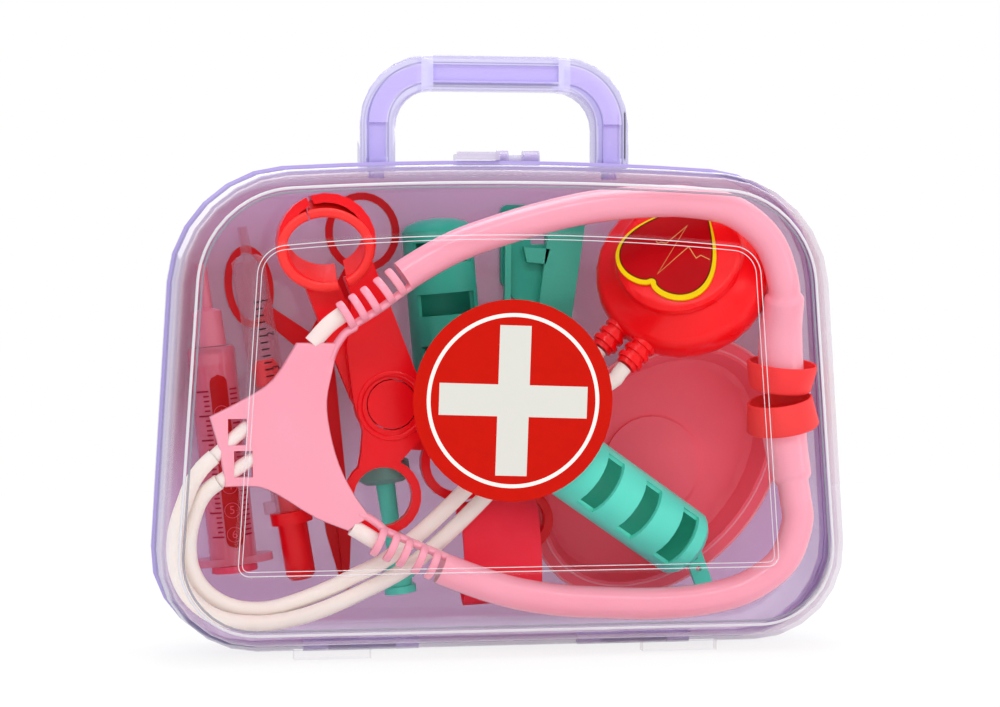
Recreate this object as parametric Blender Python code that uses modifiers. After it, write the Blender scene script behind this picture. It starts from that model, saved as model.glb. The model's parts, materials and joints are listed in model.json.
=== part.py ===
"""Toy doctor case: a clear hinged case with a carry handle, packed with toy instruments.

The case stands on the ground plane with its middle over the origin. +X is its width, +Z is up and
the clear front shell faces -Y. Lengths are metres.
"""
import math

import bmesh
import bpy
import numpy as np
from mathutils import Matrix, Vector

# Clearances
CLEARANCE = 0.0003
CUT_OVERRUN = 0.001

# Case shells
CASE_WIDTH = 0.2400
CASE_TOP_WIDTH = 0.2210
CASE_HEIGHT = 0.1602
CASE_DEPTH = 0.0600
CASE_DOME = 0.0050
CASE_TOP_RADIUS = 0.0380
CASE_BOTTOM_RADIUS = 0.0330
CASE_EDGE_RADIUS = 0.0070
CASE_DRAFT = 0.0014
CASE_WALL = 0.0016
RIM_LIP = 0.0010
RIM_HEIGHT = 0.0026
RIM_JOGGLE = 0.0006
FOOT_HEIGHT = 0.0022
FOOT_LENGTH = 0.0260
FOOT_WIDTH = 0.0050
FOOT_SPACING_X = 0.1200
FOOT_SPACING_Y = 0.0360

# Sunk panel on the front shell
PANEL_WIDTH = 0.1850
PANEL_TOP_WIDTH = 0.1700
PANEL_HEIGHT = 0.1085
PANEL_BASE = 0.0273
PANEL_DOME = 0.0045
PANEL_TOP_RADIUS = 0.0090
PANEL_BOTTOM_RADIUS = 0.0035
PANEL_SINK = 0.0008

# Bottom hinge
HINGE_SPACING = 0.0960
HINGE_LENGTH = 0.0400
HINGE_EAR_WIDTH = 0.0080
HINGE_HEIGHT = 0.0019
KNUCKLE_RADIUS = 0.0018
HINGE_PIN_RADIUS = 0.0009
HINGE_NOTCH_DEPTH = 0.0030
HINGE_NOTCH_HEIGHT = 0.0042

# Handle
HANDLE_WIDTH = 0.0945
HANDLE_HEIGHT = 0.0380
HANDLE_BAR = 0.0122
HANDLE_DEPTH = 0.0110
HANDLE_OUTER_RADIUS = 0.0235
HANDLE_INNER_RADIUS = 0.0130
HANDLE_EDGE = 0.0016
HANDLE_CHANNEL_WIDTH = 0.0068
HANDLE_CHANNEL_DEPTH = 0.0014
HANDLE_PANEL_LENGTH = 0.0440
HANDLE_PANEL_WIDTH = 0.0056
HANDLE_PEG_RADIUS = 0.0028
HANDLE_PEG_LENGTH = 0.0045
HANDLE_Y = RIM_HEIGHT + RIM_JOGGLE + CLEARANCE + HANDLE_DEPTH / 2

# Latch
LATCH_PLATE_LENGTH = 0.0148
LATCH_PLATE_REACH = 0.0080
LATCH_PLATE_THICKNESS = 0.0020
LATCH_LIP = 0.0014
LATCH_SHAFT_RADIUS = 0.0011
LATCH_EAR_RADIUS = 0.0027
LATCH_EAR_NEAR = 0.0038
LATCH_EAR_FAR = 0.0056
LATCH_EAR_SPAN = 0.0150
LATCH_SETBACK = 0.0044

# Round label
LABEL_RADIUS = 0.0340
LABEL_THICKNESS = 0.0004
LABEL_HEIGHT = 0.0870

# Stethoscope
YOKE_WIDTH = 0.0550
YOKE_HEIGHT = 0.0610
YOKE_THICKNESS = 0.0050
YOKE_EDGE = 0.0010
UPPER_SLEEVE_REACH = 0.01218
UPPER_SLEEVE_RISE = 0.00849
LOWER_SLEEVE_REACH = 0.00514
LOWER_SLEEVE_DROP = 0.00538
YOKE_WINDOW_WIDTH = 0.0062
YOKE_WINDOW_HEIGHT = 0.0088
ARM_RADIUS = 0.0055
ARM_END_RADIUS = 0.0072
ARM_BORE_DEPTH = 0.0060
SLEEVE_SLOT_COUNT = 5
SLEEVE_SLOT_WIDTH = 0.0023
SLEEVE_RIB_WIDTH = 0.0020
SLEEVE_SLOT_DEPTH = 0.0048
CUP_RADIUS = 0.0133
CUP_HEIGHT = 0.0145
CUP_WALL = 0.0018
CUP_FLOOR = 0.0042
TUBE_RADIUS = 0.0027
CHEST_RADIUS = 0.0310
CHEST_THICKNESS = 0.0150
CHEST_EDGE = 0.0050
CHEST_SHOULDER = 0.0046
CHEST_CAP_RADIUS = 0.0222
CHEST_CAP_THICKNESS = 0.0030
PORT_RADIUS = 0.0048
PORT_LENGTH = 0.0086
PORT_SPACING = 0.0114
HEART_WIDTH = 0.0330
HEART_HEIGHT = 0.0360
HEART_SHIFT_X = 0.0013
HEART_SHIFT_Z = 0.0002
HEART_THICKNESS = 0.0008

# Syringe one, the wide one
WIDE_BARREL_RADIUS = 0.0082
WIDE_BARREL_LENGTH = 0.0760
WIDE_BARREL_WALL = 0.0011
WIDE_FLANGE_RADIUS = 0.0138
WIDE_FLANGE_THICKNESS = 0.0026
WIDE_SEAL_THICKNESS = 0.0036
WIDE_SHOULDER_RADIUS = 0.0056
WIDE_SHOULDER_LENGTH = 0.0120
WIDE_NOZZLE_RADIUS = 0.0021
WIDE_NOZZLE_LENGTH = 0.0165
WIDE_ROD_RADIUS = 0.0050
WIDE_THUMB_RADIUS = 0.0080
WIDE_THUMB_THICKNESS = 0.0024

# Syringe two, the slim one
SLIM_BARREL_RADIUS = 0.0058
SLIM_BARREL_LENGTH = 0.0900
SLIM_BARREL_WALL = 0.0009
SLIM_NOZZLE_RADIUS = 0.0020
SLIM_NOZZLE_LENGTH = 0.0100
SLIM_FLANGE_RADIUS = 0.0090
SLIM_FLANGE_THICKNESS = 0.0040
SLIM_PLUNGER_DEPTH = 0.0440
SLIM_ROD_RADIUS = 0.0036
SLIM_TIP_LENGTH = 0.0090
SLIM_DISC_RADIUS = 0.0073
SLIM_DISC_THICKNESS = 0.0042
SLIM_KNOB_RADIUS = 0.0052
SLIM_KNOB_LENGTH = 0.0200

# Ring forceps
FORCEPS_RING_RADIUS = 0.0168
FORCEPS_RING_BORE = 0.0136
FORCEPS_RING_GAP = 0.0016
FORCEPS_DEPTH = 0.0108
FORCEPS_LENGTH = 0.0594
FORCEPS_BOSS_RADIUS = 0.0122
FORCEPS_RIVET_RADIUS = 0.0085
FORCEPS_SHOULDER_WIDTH = 0.0240
FORCEPS_HANDLE_LENGTH = 0.0281
FINGER_RING_RADIUS = 0.0132
FINGER_RING_BAR = 0.0031
FINGER_RING_SPREAD = 0.0291

# Scissors
SCISSORS_THICKNESS = 0.0018
SCISSORS_LOOP_WIDTH = 0.0170
SCISSORS_LOOP_HEIGHT = 0.0290
SCISSORS_LOOP_BAR = 0.0026
SCISSORS_LOOP_SPREAD = 0.0380
SCISSORS_SHANK_LENGTH = 0.0330
SCISSORS_BLADE_LENGTH = 0.0820
SCISSORS_BLADE_WIDTH = 0.0085
SCISSORS_RIVET_RADIUS = 0.0040
SCISSORS_WAVE = 0.0008
SCISSORS_WAVE_COUNT = 9

# Teal instruments
SCOPE_RADIUS = 0.0124
SCOPE_LENGTH = 0.0600
SCOPE_WALL = 0.0016
SCOPE_WINDOW_LENGTH = 0.0076
SCOPE_WINDOW_DEPTH = 0.0060
LUG_LENGTH = 0.0145
LUG_WIDTH = 0.0060
LUG_THICKNESS = 0.0030
LUG_HOLE_RADIUS = 0.0010
LUG_HOLE_SETBACK = 0.0032
LUG_HOLE_PITCH = 0.0043
BLADE_WIDTH = 0.0270
BLADE_HEAD_LENGTH = 0.0350
BLADE_STEM_WIDTH = 0.0150
BLADE_STEM_LENGTH = 0.0860
BLADE_THICKNESS = 0.0034
BLADE_SLOT_WIDTH = 0.0055
BLADE_SLOT_LENGTH = 0.0140
HAMMER_HEAD_RADIUS = 0.0092
HAMMER_HEAD_LENGTH = 0.0085
HAMMER_STEM_RADIUS = 0.0034
HAMMER_STEM_LENGTH = 0.0260
HAMMER_GRIP_RADIUS = 0.0056
HAMMER_GRIP_LENGTH = 0.0125

# Cuff and tray
CUFF_WIDTH = 0.0270
CUFF_HEIGHT = 0.0360
CUFF_DEPTH = 0.0180
CUFF_THICKNESS = 0.0016
RED_RING_RADIUS = 0.0114
RED_RING_BAR = 0.0032
RED_RING_DEPTH = 0.0034
TRAY_WIDTH = 0.0780
TRAY_HEIGHT = 0.1060
TRAY_DEPTH = 0.0115
TRAY_RIM = 0.0045
TRAY_DRAFT = 0.0060
TRAY_WALL = 0.0014
TRAY_EMBOSS_RADIUS = 0.0175
TRAY_EMBOSS_HEIGHT = 0.0007

# Fineness of curved surfaces
CORNER_STEPS = 6
EDGE_STEPS = 3
ROUND_STEPS = 20
SMALL_STEPS = 14
PIN_STEPS = 10
DRUM_STEPS = 28
TRAY_STEPS = 36

HALF_GAP = CLEARANCE / 2
BACK_INNER_Y = CASE_DEPTH / 2 - CASE_WALL
FRONT_INNER_Y = -CASE_DEPTH / 2 + CASE_WALL + PANEL_SINK
SHELL_TOP = FOOT_HEIGHT + CASE_HEIGHT + CASE_DOME
FLOOR_INNER = FOOT_HEIGHT + CASE_WALL


def clear_scene():
    for item in list(bpy.data.objects):
        bpy.data.objects.remove(item, do_unlink=True)


def make_collection(name):
    collection = bpy.data.collections.new(name)
    bpy.context.scene.collection.children.link(collection)
    return collection


def make_material(name, colour, roughness, alpha=1.0):
    material = bpy.data.materials.new(name)
    material.use_nodes = True
    shader = material.node_tree.nodes["Principled BSDF"]
    shader.inputs["Base Color"].default_value = (*colour, 1.0)
    shader.inputs["Roughness"].default_value = roughness
    shader.inputs["Metallic"].default_value = 0.0
    shader.inputs["Alpha"].default_value = alpha
    return material


clear_scene()
CASE = make_collection("toy_doctor_case")
CUTTERS = make_collection("cutters")

CLEAR = make_material("clear_plastic", (0.90, 0.90, 0.93), 0.10, 0.35)
LAVENDER = make_material("lavender_clear", (0.62, 0.52, 0.86), 0.12, 0.60)
PINK = make_material("pink_plastic", (1.00, 0.42, 0.50), 0.35)
RED = make_material("red_plastic", (0.88, 0.02, 0.03), 0.25)
CREAM = make_material("cream_tube", (0.88, 0.80, 0.70), 0.45)
TEAL = make_material("teal_plastic", (0.05, 0.52, 0.42), 0.35)
WHITE = make_material("white_seal", (0.92, 0.90, 0.88), 0.40)
LABEL = make_material("label_red", (0.63, 0.01, 0.01), 0.30)
TRAY = make_material("tray_pink", (0.80, 0.25, 0.32), 0.40)
CUFF = make_material("cuff_red", (0.86, 0.03, 0.04), 0.80)


def add_object(name, data, material=None, collection=None):
    item = bpy.data.objects.new(name, data)
    (collection or CASE).objects.link(item)
    if material is not None:
        data.materials.append(material)
    return item


def as_guide(item):
    """Hide a cutter or a joined shape from renders and draw it as wire."""
    item.hide_render = True
    item.display_type = "WIRE"
    return item


def smooth(item, angle=math.radians(40)):
    item.data.shade_smooth()
    item.data.set_sharp_from_angle(angle=angle)
    return item


def boolean(item, other, operation):
    modifier = item.modifiers.new(operation.lower(), "BOOLEAN")
    modifier.operation = operation
    modifier.object = as_guide(other)
    modifier.solver = "EXACT"
    return item


def cut(item, *others):
    for other in others:
        boolean(item, other, "DIFFERENCE")
    return item


def join(item, *others):
    for other in others:
        boolean(item, other, "UNION")
    return item


def box(name, low, high, material=None, collection=None):
    """An axis aligned box between two corners."""
    low, high = Vector(low), Vector(high)
    mesh = bpy.data.meshes.new(name)
    shape = bmesh.new()
    bmesh.ops.create_cube(shape, size=1.0)
    shape.transform(Matrix.Translation((low + high) / 2) @ Matrix.Diagonal((*(high - low), 1.0)))
    shape.to_mesh(mesh)
    shape.free()
    return add_object(name, mesh, material, collection or CUTTERS)


def rounded_polygon(corners, radii, straight_steps, corner_steps=CORNER_STEPS):
    """Corners with arcs, counter-clockwise, and extra points along the straight that leads to each."""
    corners = [Vector(corner) for corner in corners]
    loop = []
    count = len(corners)
    arcs = []
    for index, corner in enumerate(corners):
        before = (corners[index - 1] - corner).normalized()
        after = (corners[(index + 1) % count] - corner).normalized()
        half = before.angle(after) / 2
        reach = radii[index] / math.tan(half)
        centre = corner + (before + after).normalized() * radii[index] / math.sin(half)
        start = corner + before * reach - centre
        sweep = math.pi - 2 * half
        turn = math.copysign(sweep, before.cross(after) * -1)
        arc = []
        for step in range(corner_steps + 1):
            angle = turn * step / corner_steps
            arc.append(centre + Matrix.Rotation(angle, 2) @ start)
        arcs.append(arc)
    for index, arc in enumerate(arcs):
        previous = arcs[index - 1][-1]
        steps = straight_steps[index]
        for step in range(1, steps):
            loop.append(previous.lerp(arc[0], step / steps))
        loop.extend(arc)
    return np.array([(point.x, point.y) for point in loop])


def offset_loop(loop, distance):
    """Move every point of a counter-clockwise loop outward by a distance, or one distance a point."""
    ahead = np.roll(loop, -1, axis=0) - loop
    behind = loop - np.roll(loop, 1, axis=0)
    ahead /= np.linalg.norm(ahead, axis=1)[:, None]
    behind /= np.linalg.norm(behind, axis=1)[:, None]
    tangent = ahead + behind
    tangent /= np.linalg.norm(tangent, axis=1)[:, None]
    normal = np.column_stack((tangent[:, 1], -tangent[:, 0]))
    stretch = 1 / np.maximum((normal * np.column_stack((ahead[:, 1], -ahead[:, 0]))).sum(axis=1), 0.5)
    return loop + normal * (np.asarray(distance) * stretch)[:, None]


def trapezoid(bottom_width, top_width, base, height, dome, bottom_radius, top_radius):
    """A rounded trapezoid whose top edge is arched, as (x, z) points."""
    corners = [(-bottom_width / 2, base), (bottom_width / 2, base),
               (top_width / 2, base + height), (-top_width / 2, base + height)]
    radii = (bottom_radius, bottom_radius, top_radius, top_radius)
    loop = rounded_polygon(corners, radii, (3, 4, 3, 8))
    rise = (loop[:, 1] - base) / height
    arch = 1 - (2 * loop[:, 0] / top_width) ** 2
    loop[:, 1] += dome * rise * np.maximum(arch, 0)
    return loop


def case_loop():
    """The case outline. Its sides lean in, so the bottom corners stand a little wider than the case."""
    lean = (CASE_WIDTH - CASE_TOP_WIDTH) / 2 * CASE_BOTTOM_RADIUS / CASE_HEIGHT
    return trapezoid(CASE_WIDTH + lean, CASE_TOP_WIDTH, FOOT_HEIGHT, CASE_HEIGHT, CASE_DOME,
                     CASE_BOTTOM_RADIUS, CASE_TOP_RADIUS)


def loft(name, rings, material, cap_last=True, collection=None):
    """Skin a list of rings of (x, y, z) points, each with as many points, open at the first."""
    shape = bmesh.new()
    rows = [[shape.verts.new(point) for point in ring] for ring in rings]
    count = len(rows[0])
    for lower, upper in zip(rows, rows[1:]):
        for index in range(count):
            after = (index + 1) % count
            shape.faces.new((lower[index], lower[after], upper[after], upper[index]))
    if cap_last:
        shape.faces.new(rows[-1])
    bmesh.ops.recalc_face_normals(shape, faces=shape.faces)
    mesh = bpy.data.meshes.new(name)
    shape.to_mesh(mesh)
    shape.free()
    return add_object(name, mesh, material, collection)


def thicken(item, thickness, offset=-1.0):
    modifier = item.modifiers.new("wall", "SOLIDIFY")
    modifier.thickness = thickness
    modifier.offset = offset
    modifier.use_even_offset = True
    return item


def flat_shape(name, loops, thickness, material, edge=0.0, collection=None, centre_y=0.0,
               origin=(0.0, 0.0)):
    """A plate in the XZ plane from closed outlines, the first the outside and the rest its holes."""
    curve = bpy.data.curves.new(name, "CURVE")
    curve.dimensions = "2D"
    curve.fill_mode = "BOTH"
    curve.extrude = thickness / 2 - edge
    curve.bevel_depth = edge
    curve.bevel_resolution = 1
    curve.offset = -edge
    for loop in loops:
        spline = curve.splines.new("POLY")
        spline.points.add(len(loop) - 1)
        for point, (x, z) in zip(spline.points, loop):
            point.co = (x, z, 0.0, 1.0)
        spline.use_cyclic_u = True
    draft = bpy.data.objects.new(name + "_draft", curve)
    CUTTERS.objects.link(draft)
    bpy.context.view_layer.update()
    graph = bpy.context.evaluated_depsgraph_get()
    mesh = bpy.data.meshes.new_from_object(draft.evaluated_get(graph))
    bpy.data.objects.remove(draft, do_unlink=True)
    bpy.data.curves.remove(curve)
    shape = bmesh.new()
    shape.from_mesh(mesh)
    bmesh.ops.remove_doubles(shape, verts=shape.verts, dist=CLEARANCE / 30)
    shape.transform(Matrix.Rotation(math.pi / 2, 4, "X"))
    bmesh.ops.recalc_face_normals(shape, faces=shape.faces)
    shape.to_mesh(mesh)
    shape.free()
    mesh.name = name
    mesh.materials.clear()
    item = add_object(name, mesh, material, collection)
    item.location = (origin[0], centre_y, origin[1])
    return item


def circle(radius, steps=ROUND_STEPS, centre=(0.0, 0.0), stretch=1.0):
    angles = np.arange(steps) * 2 * math.pi / steps
    return np.column_stack((centre[0] + radius * np.cos(angles),
                            centre[1] + radius * stretch * np.sin(angles)))


def closed_curve(points, steps=5, corners=()):
    """A smooth closed loop through the points, as Catmull-Rom arcs, with sharp turns at corners."""
    points = np.array(points)
    count = len(points)
    result = []
    for index in range(count):
        a, b, c, d = (points[(index + shift) % count] for shift in (-1, 0, 1, 2))
        if index in corners:
            a = 2 * b - c
        if (index + 1) % count in corners:
            d = 2 * c - b
        for step in range(steps):
            t = step / steps
            result.append(0.5 * (2 * b + (c - a) * t + (2 * a - 5 * b + 4 * c - d) * t ** 2
                                 + (3 * b - a - 3 * c + d) * t ** 3))
    return np.array(result)


def open_curve(points, spacing):
    """A smooth open line through the points, read off at an even spacing."""
    points = np.array(points)
    first = 2 * points[0] - points[1]
    last = 2 * points[-1] - points[-2]
    padded = np.vstack((first, points, last))
    fine = []
    for index in range(1, len(padded) - 2):
        a, b, c, d = padded[index - 1:index + 3]
        for t in np.linspace(0, 1, 24, endpoint=False):
            fine.append(0.5 * (2 * b + (c - a) * t + (2 * a - 5 * b + 4 * c - d) * t ** 2
                               + (3 * b - a - 3 * c + d) * t ** 3))
    fine.append(points[-1])
    fine = np.array(fine)
    run = np.concatenate(([0], np.cumsum(np.linalg.norm(np.diff(fine, axis=0), axis=1))))
    count = max(int(round(run[-1] / spacing)), 2)
    marks = np.linspace(0, run[-1], count + 1)
    return np.column_stack([np.interp(marks, run, fine[:, axis]) for axis in range(3)])


def tube(name, points, radius, material, resolution=2, swell=None, collection=None):
    """A solid round bar along the points. swell gives each point's share of the radius."""
    curve = bpy.data.curves.new(name, "CURVE")
    curve.dimensions = "3D"
    curve.bevel_depth = radius
    curve.bevel_resolution = resolution
    curve.use_fill_caps = True
    curve.render_resolution_u = 0
    spline = curve.splines.new("POLY")
    spline.points.add(len(points) - 1)
    for index, point in enumerate(points):
        spline.points[index].co = (*point, 1.0)
        if swell is not None:
            spline.points[index].radius = swell[index]
    return add_object(name, curve, material, collection)


def solid_tube(name, points, radius, material, resolution=2, swell=None, collection=None):
    """The same bar as a closed mesh, for pieces that are cut or joined."""
    draft = tube(name + "_draft", points, radius, None, resolution, swell, CUTTERS)
    bpy.context.view_layer.update()
    graph = bpy.context.evaluated_depsgraph_get()
    mesh = bpy.data.meshes.new_from_object(draft.evaluated_get(graph))
    curve = draft.data
    bpy.data.objects.remove(draft, do_unlink=True)
    bpy.data.curves.remove(curve)
    shape = bmesh.new()
    shape.from_mesh(mesh)
    bmesh.ops.remove_doubles(shape, verts=shape.verts, dist=CLEARANCE / 30)
    bmesh.ops.recalc_face_normals(shape, faces=shape.faces)
    shape.to_mesh(mesh)
    shape.free()
    mesh.name = name
    mesh.materials.clear()
    return smooth(add_object(name, mesh, material, collection))


def turned(name, profile, material, place=None, steps=ROUND_STEPS, closed=False, collection=None):
    """A turned piece about its own Z: a profile of (radius, height) down the outside, then place."""
    shape = bmesh.new()
    verts = [shape.verts.new((radius, 0.0, height)) for radius, height in profile]
    for first, second in zip(verts, verts[1:]):
        shape.edges.new((first, second))
    if closed:
        shape.edges.new((verts[-1], verts[0]))
    mesh = bpy.data.meshes.new(name)
    shape.to_mesh(mesh)
    shape.free()
    item = add_object(name, mesh, material, collection)
    spin = item.modifiers.new("turn", "SCREW")
    spin.steps = steps
    spin.render_steps = steps
    spin.use_merge_vertices = True
    spin.merge_threshold = CLEARANCE / 30
    spin.use_smooth_shade = True
    if place is not None:
        item.matrix_world = place
    return item


def placed(origin, direction, up=(0.0, 1.0, 0.0)):
    """A placement whose Z runs along a direction and whose Y leans to the given side."""
    along = Vector(direction).normalized()
    side = Vector(up).cross(along).normalized()
    across = along.cross(side)
    turn = Matrix((side, across, along)).transposed().to_4x4()
    return Matrix.Translation(Vector(origin)) @ turn


def rod(name, start, end, radius, material=None, steps=SMALL_STEPS, collection=None):
    """A plain round rod between two points."""
    start, end = Vector(start), Vector(end)
    length = (end - start).length
    profile = [(0.0, length), (radius, length), (radius, 0.0), (0.0, 0.0)]
    across = (0.0, 1.0, 0.0) if abs((end - start).normalized().y) < 0.9 else (1.0, 0.0, 0.0)
    return turned(name, profile, material, placed(start, end - start, across), steps,
                  collection=collection or CUTTERS)


def case_spot(x_share, z_share):
    """A place in the case, as shares of half its width and of its height above the feet."""
    return (x_share * CASE_WIDTH / 2, FOOT_HEIGHT + z_share * (CASE_HEIGHT + CASE_DOME))


def spot_list(shares):
    return [case_spot(*share) for share in shares]


def shell_rings(side, with_panel):
    """Rings of one shell, from the parting plane to its face. side is -1 in front and 1 behind."""
    loop = case_loop()
    lift = np.clip((loop[:, 1] - FOOT_HEIGHT - CASE_BOTTOM_RADIUS / 4) / (CASE_BOTTOM_RADIUS / 2), 0, 1)
    lip = RIM_LIP * lift
    depth = CASE_DEPTH / 2
    wall_end = depth - CASE_EDGE_RADIUS
    rings = [(offset_loop(loop, lip), HALF_GAP),
             (offset_loop(loop, lip), RIM_HEIGHT),
             (loop, RIM_HEIGHT + RIM_JOGGLE),
             (offset_loop(loop, -CASE_DRAFT), wall_end)]
    for step in range(1, EDGE_STEPS + 1):
        angle = step / EDGE_STEPS * math.pi / 2
        inset = CASE_DRAFT + CASE_EDGE_RADIUS * (1 - math.cos(angle))
        rings.append((offset_loop(loop, -inset), wall_end + CASE_EDGE_RADIUS * math.sin(angle)))
    if with_panel:
        panel = trapezoid(PANEL_WIDTH, PANEL_TOP_WIDTH, FOOT_HEIGHT + PANEL_BASE, PANEL_HEIGHT,
                          PANEL_DOME, PANEL_BOTTOM_RADIUS, PANEL_TOP_RADIUS)
        rings.append((offset_loop(panel, PANEL_SINK), depth))
        rings.append((panel, depth - PANEL_SINK))
    return [[(x, side * y, z) for x, z in ring] for ring, y in rings]


def hinge_centres():
    return [side * HINGE_SPACING / 2 for side in (-1, 1)]


def add_feet(shell, side):
    """Two flat pads under a shell, from the ground to the middle of its floor."""
    for end in (-1, 1):
        x = end * FOOT_SPACING_X / 2
        y = side * FOOT_SPACING_Y / 2
        foot = box(shell.name + "_foot", (x - FOOT_LENGTH / 2, y - FOOT_WIDTH / 2, 0),
                   (x + FOOT_LENGTH / 2, y + FOOT_WIDTH / 2,
                    FOOT_HEIGHT + (CASE_DRAFT + CASE_WALL) / 2))
        join(shell, foot)


def cut_hinge_notches(shell):
    for x in hinge_centres():
        reach = HINGE_LENGTH / 2 + CLEARANCE
        notch = box(shell.name + "_notch",
                    (x - reach, -HINGE_NOTCH_DEPTH, -CUT_OVERRUN),
                    (x + reach, HINGE_NOTCH_DEPTH, HINGE_NOTCH_HEIGHT))
        cut(shell, notch)


def knuckle(name, x_low, x_high, side, bore):
    """A round knuckle on the hinge line with a web back to its own shell."""
    axis_low = (x_low, 0, HINGE_HEIGHT)
    axis_high = (x_high, 0, HINGE_HEIGHT)
    body = rod(name, axis_low, axis_high, KNUCKLE_RADIUS)
    near, far = sorted((side * KNUCKLE_RADIUS / 2, side * (HINGE_NOTCH_DEPTH + CASE_WALL)))
    web = box(name + "_web", (x_low, near, HINGE_HEIGHT - KNUCKLE_RADIUS / 3),
              (x_high, far, FOOT_HEIGHT + CASE_WALL / 2))
    join(body, web)
    if bore:
        hole = rod(name + "_bore", (x_low - CUT_OVERRUN, 0, HINGE_HEIGHT),
                   (x_high + CUT_OVERRUN, 0, HINGE_HEIGHT), HINGE_PIN_RADIUS + CLEARANCE)
        cut(body, hole)
    return body


def build_front_shell():
    shell = loft("front_shell", shell_rings(-1, True), CLEAR)
    thicken(shell, CASE_WALL)
    cut_hinge_notches(shell)
    for x in hinge_centres():
        half = HINGE_LENGTH / 2 - HINGE_EAR_WIDTH - CLEARANCE
        join(shell, knuckle("front_hook", x - half, x + half, -1, True))
    add_feet(shell, -1)
    return smooth(shell)


def latch_axis():
    """Middle line of the latch shaft, behind the parting plane and above the shell."""
    lip_top = SHELL_TOP + RIM_LIP
    return LATCH_SETBACK, lip_top + CLEARANCE + LATCH_PLATE_THICKNESS / 2


def latch_ear(name, x_low, x_high):
    y, z = latch_axis()
    ear = rod(name, (x_low, y, z), (x_high, y, z), LATCH_EAR_RADIUS, steps=ROUND_STEPS)
    base = box(name + "_base", (x_low, y - LATCH_EAR_RADIUS, SHELL_TOP - CASE_WALL / 4),
               (x_high, y + LATCH_EAR_RADIUS, z))
    join(ear, base)
    return ear


def build_back_shell():
    shell = loft("back_shell", shell_rings(1, False), LAVENDER)
    thicken(shell, CASE_WALL)
    cut_hinge_notches(shell)
    for x in hinge_centres():
        outer = HINGE_LENGTH / 2
        inner = outer - HINGE_EAR_WIDTH
        middle = (outer + inner) / 2
        join(shell, knuckle("back_ear", x - outer, x - inner, 1, False),
             knuckle("back_ear", x + inner, x + outer, 1, False),
             rod("hinge_pin", (x - middle, 0, HINGE_HEIGHT), (x + middle, 0, HINGE_HEIGHT),
                 HINGE_PIN_RADIUS, steps=PIN_STEPS))
    add_feet(shell, 1)
    for name, hole in handle_feet("handle_socket", HANDLE_PEG_RADIUS + CLEARANCE,
                                  SHELL_TOP - HANDLE_PEG_LENGTH * 2, SHELL_TOP + CUT_OVERRUN):
        cut(shell, hole)
    y, z = latch_axis()
    near = (CLEARANCE, CLEARANCE + LATCH_EAR_NEAR)
    far = (LATCH_EAR_SPAN - LATCH_EAR_FAR, LATCH_EAR_SPAN)
    join(shell, latch_ear("latch_ear_near", *near), latch_ear("latch_ear_far", *far))
    bore = rod("latch_bore", (-CUT_OVERRUN, y, z), (LATCH_EAR_SPAN + CUT_OVERRUN, y, z),
               LATCH_SHAFT_RADIUS + CLEARANCE)
    cut(shell, bore)
    return smooth(shell)


def build_latch():
    """A flat catch over the rim lips, with a shaft that turns in the two ears."""
    y, z = latch_axis()
    half = LATCH_PLATE_THICKNESS / 2
    clip = box("latch_clip", (-LATCH_PLATE_LENGTH, -LATCH_PLATE_REACH, -half), (0, half, half),
               LAVENDER, CASE)
    clip.location = (0, y, z)
    lip = box("latch_lip", (-LATCH_PLATE_LENGTH, y - LATCH_PLATE_REACH, z - half),
              (0, y - LATCH_PLATE_REACH + LATCH_LIP, z + half + LATCH_LIP / 2))
    knob = rod("latch_barrel", (-LATCH_PLATE_LENGTH, y, z), (0, y, z), half, steps=ROUND_STEPS)
    shaft = rod("latch_shaft", (-LATCH_LIP, y, z), (LATCH_EAR_SPAN, y, z), LATCH_SHAFT_RADIUS)
    join(clip, lip, knob, shaft)
    return clip


def handle_feet(name, radius, low, high):
    """Upright rods on the middle lines of the two legs, as (name, rod) pairs."""
    x = (HANDLE_WIDTH - HANDLE_BAR) / 2
    return [(name, rod(name, (side * x, HANDLE_Y, low), (side * x, HANDLE_Y, high), radius, steps=PIN_STEPS))
            for side in (-1, 1)]


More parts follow.
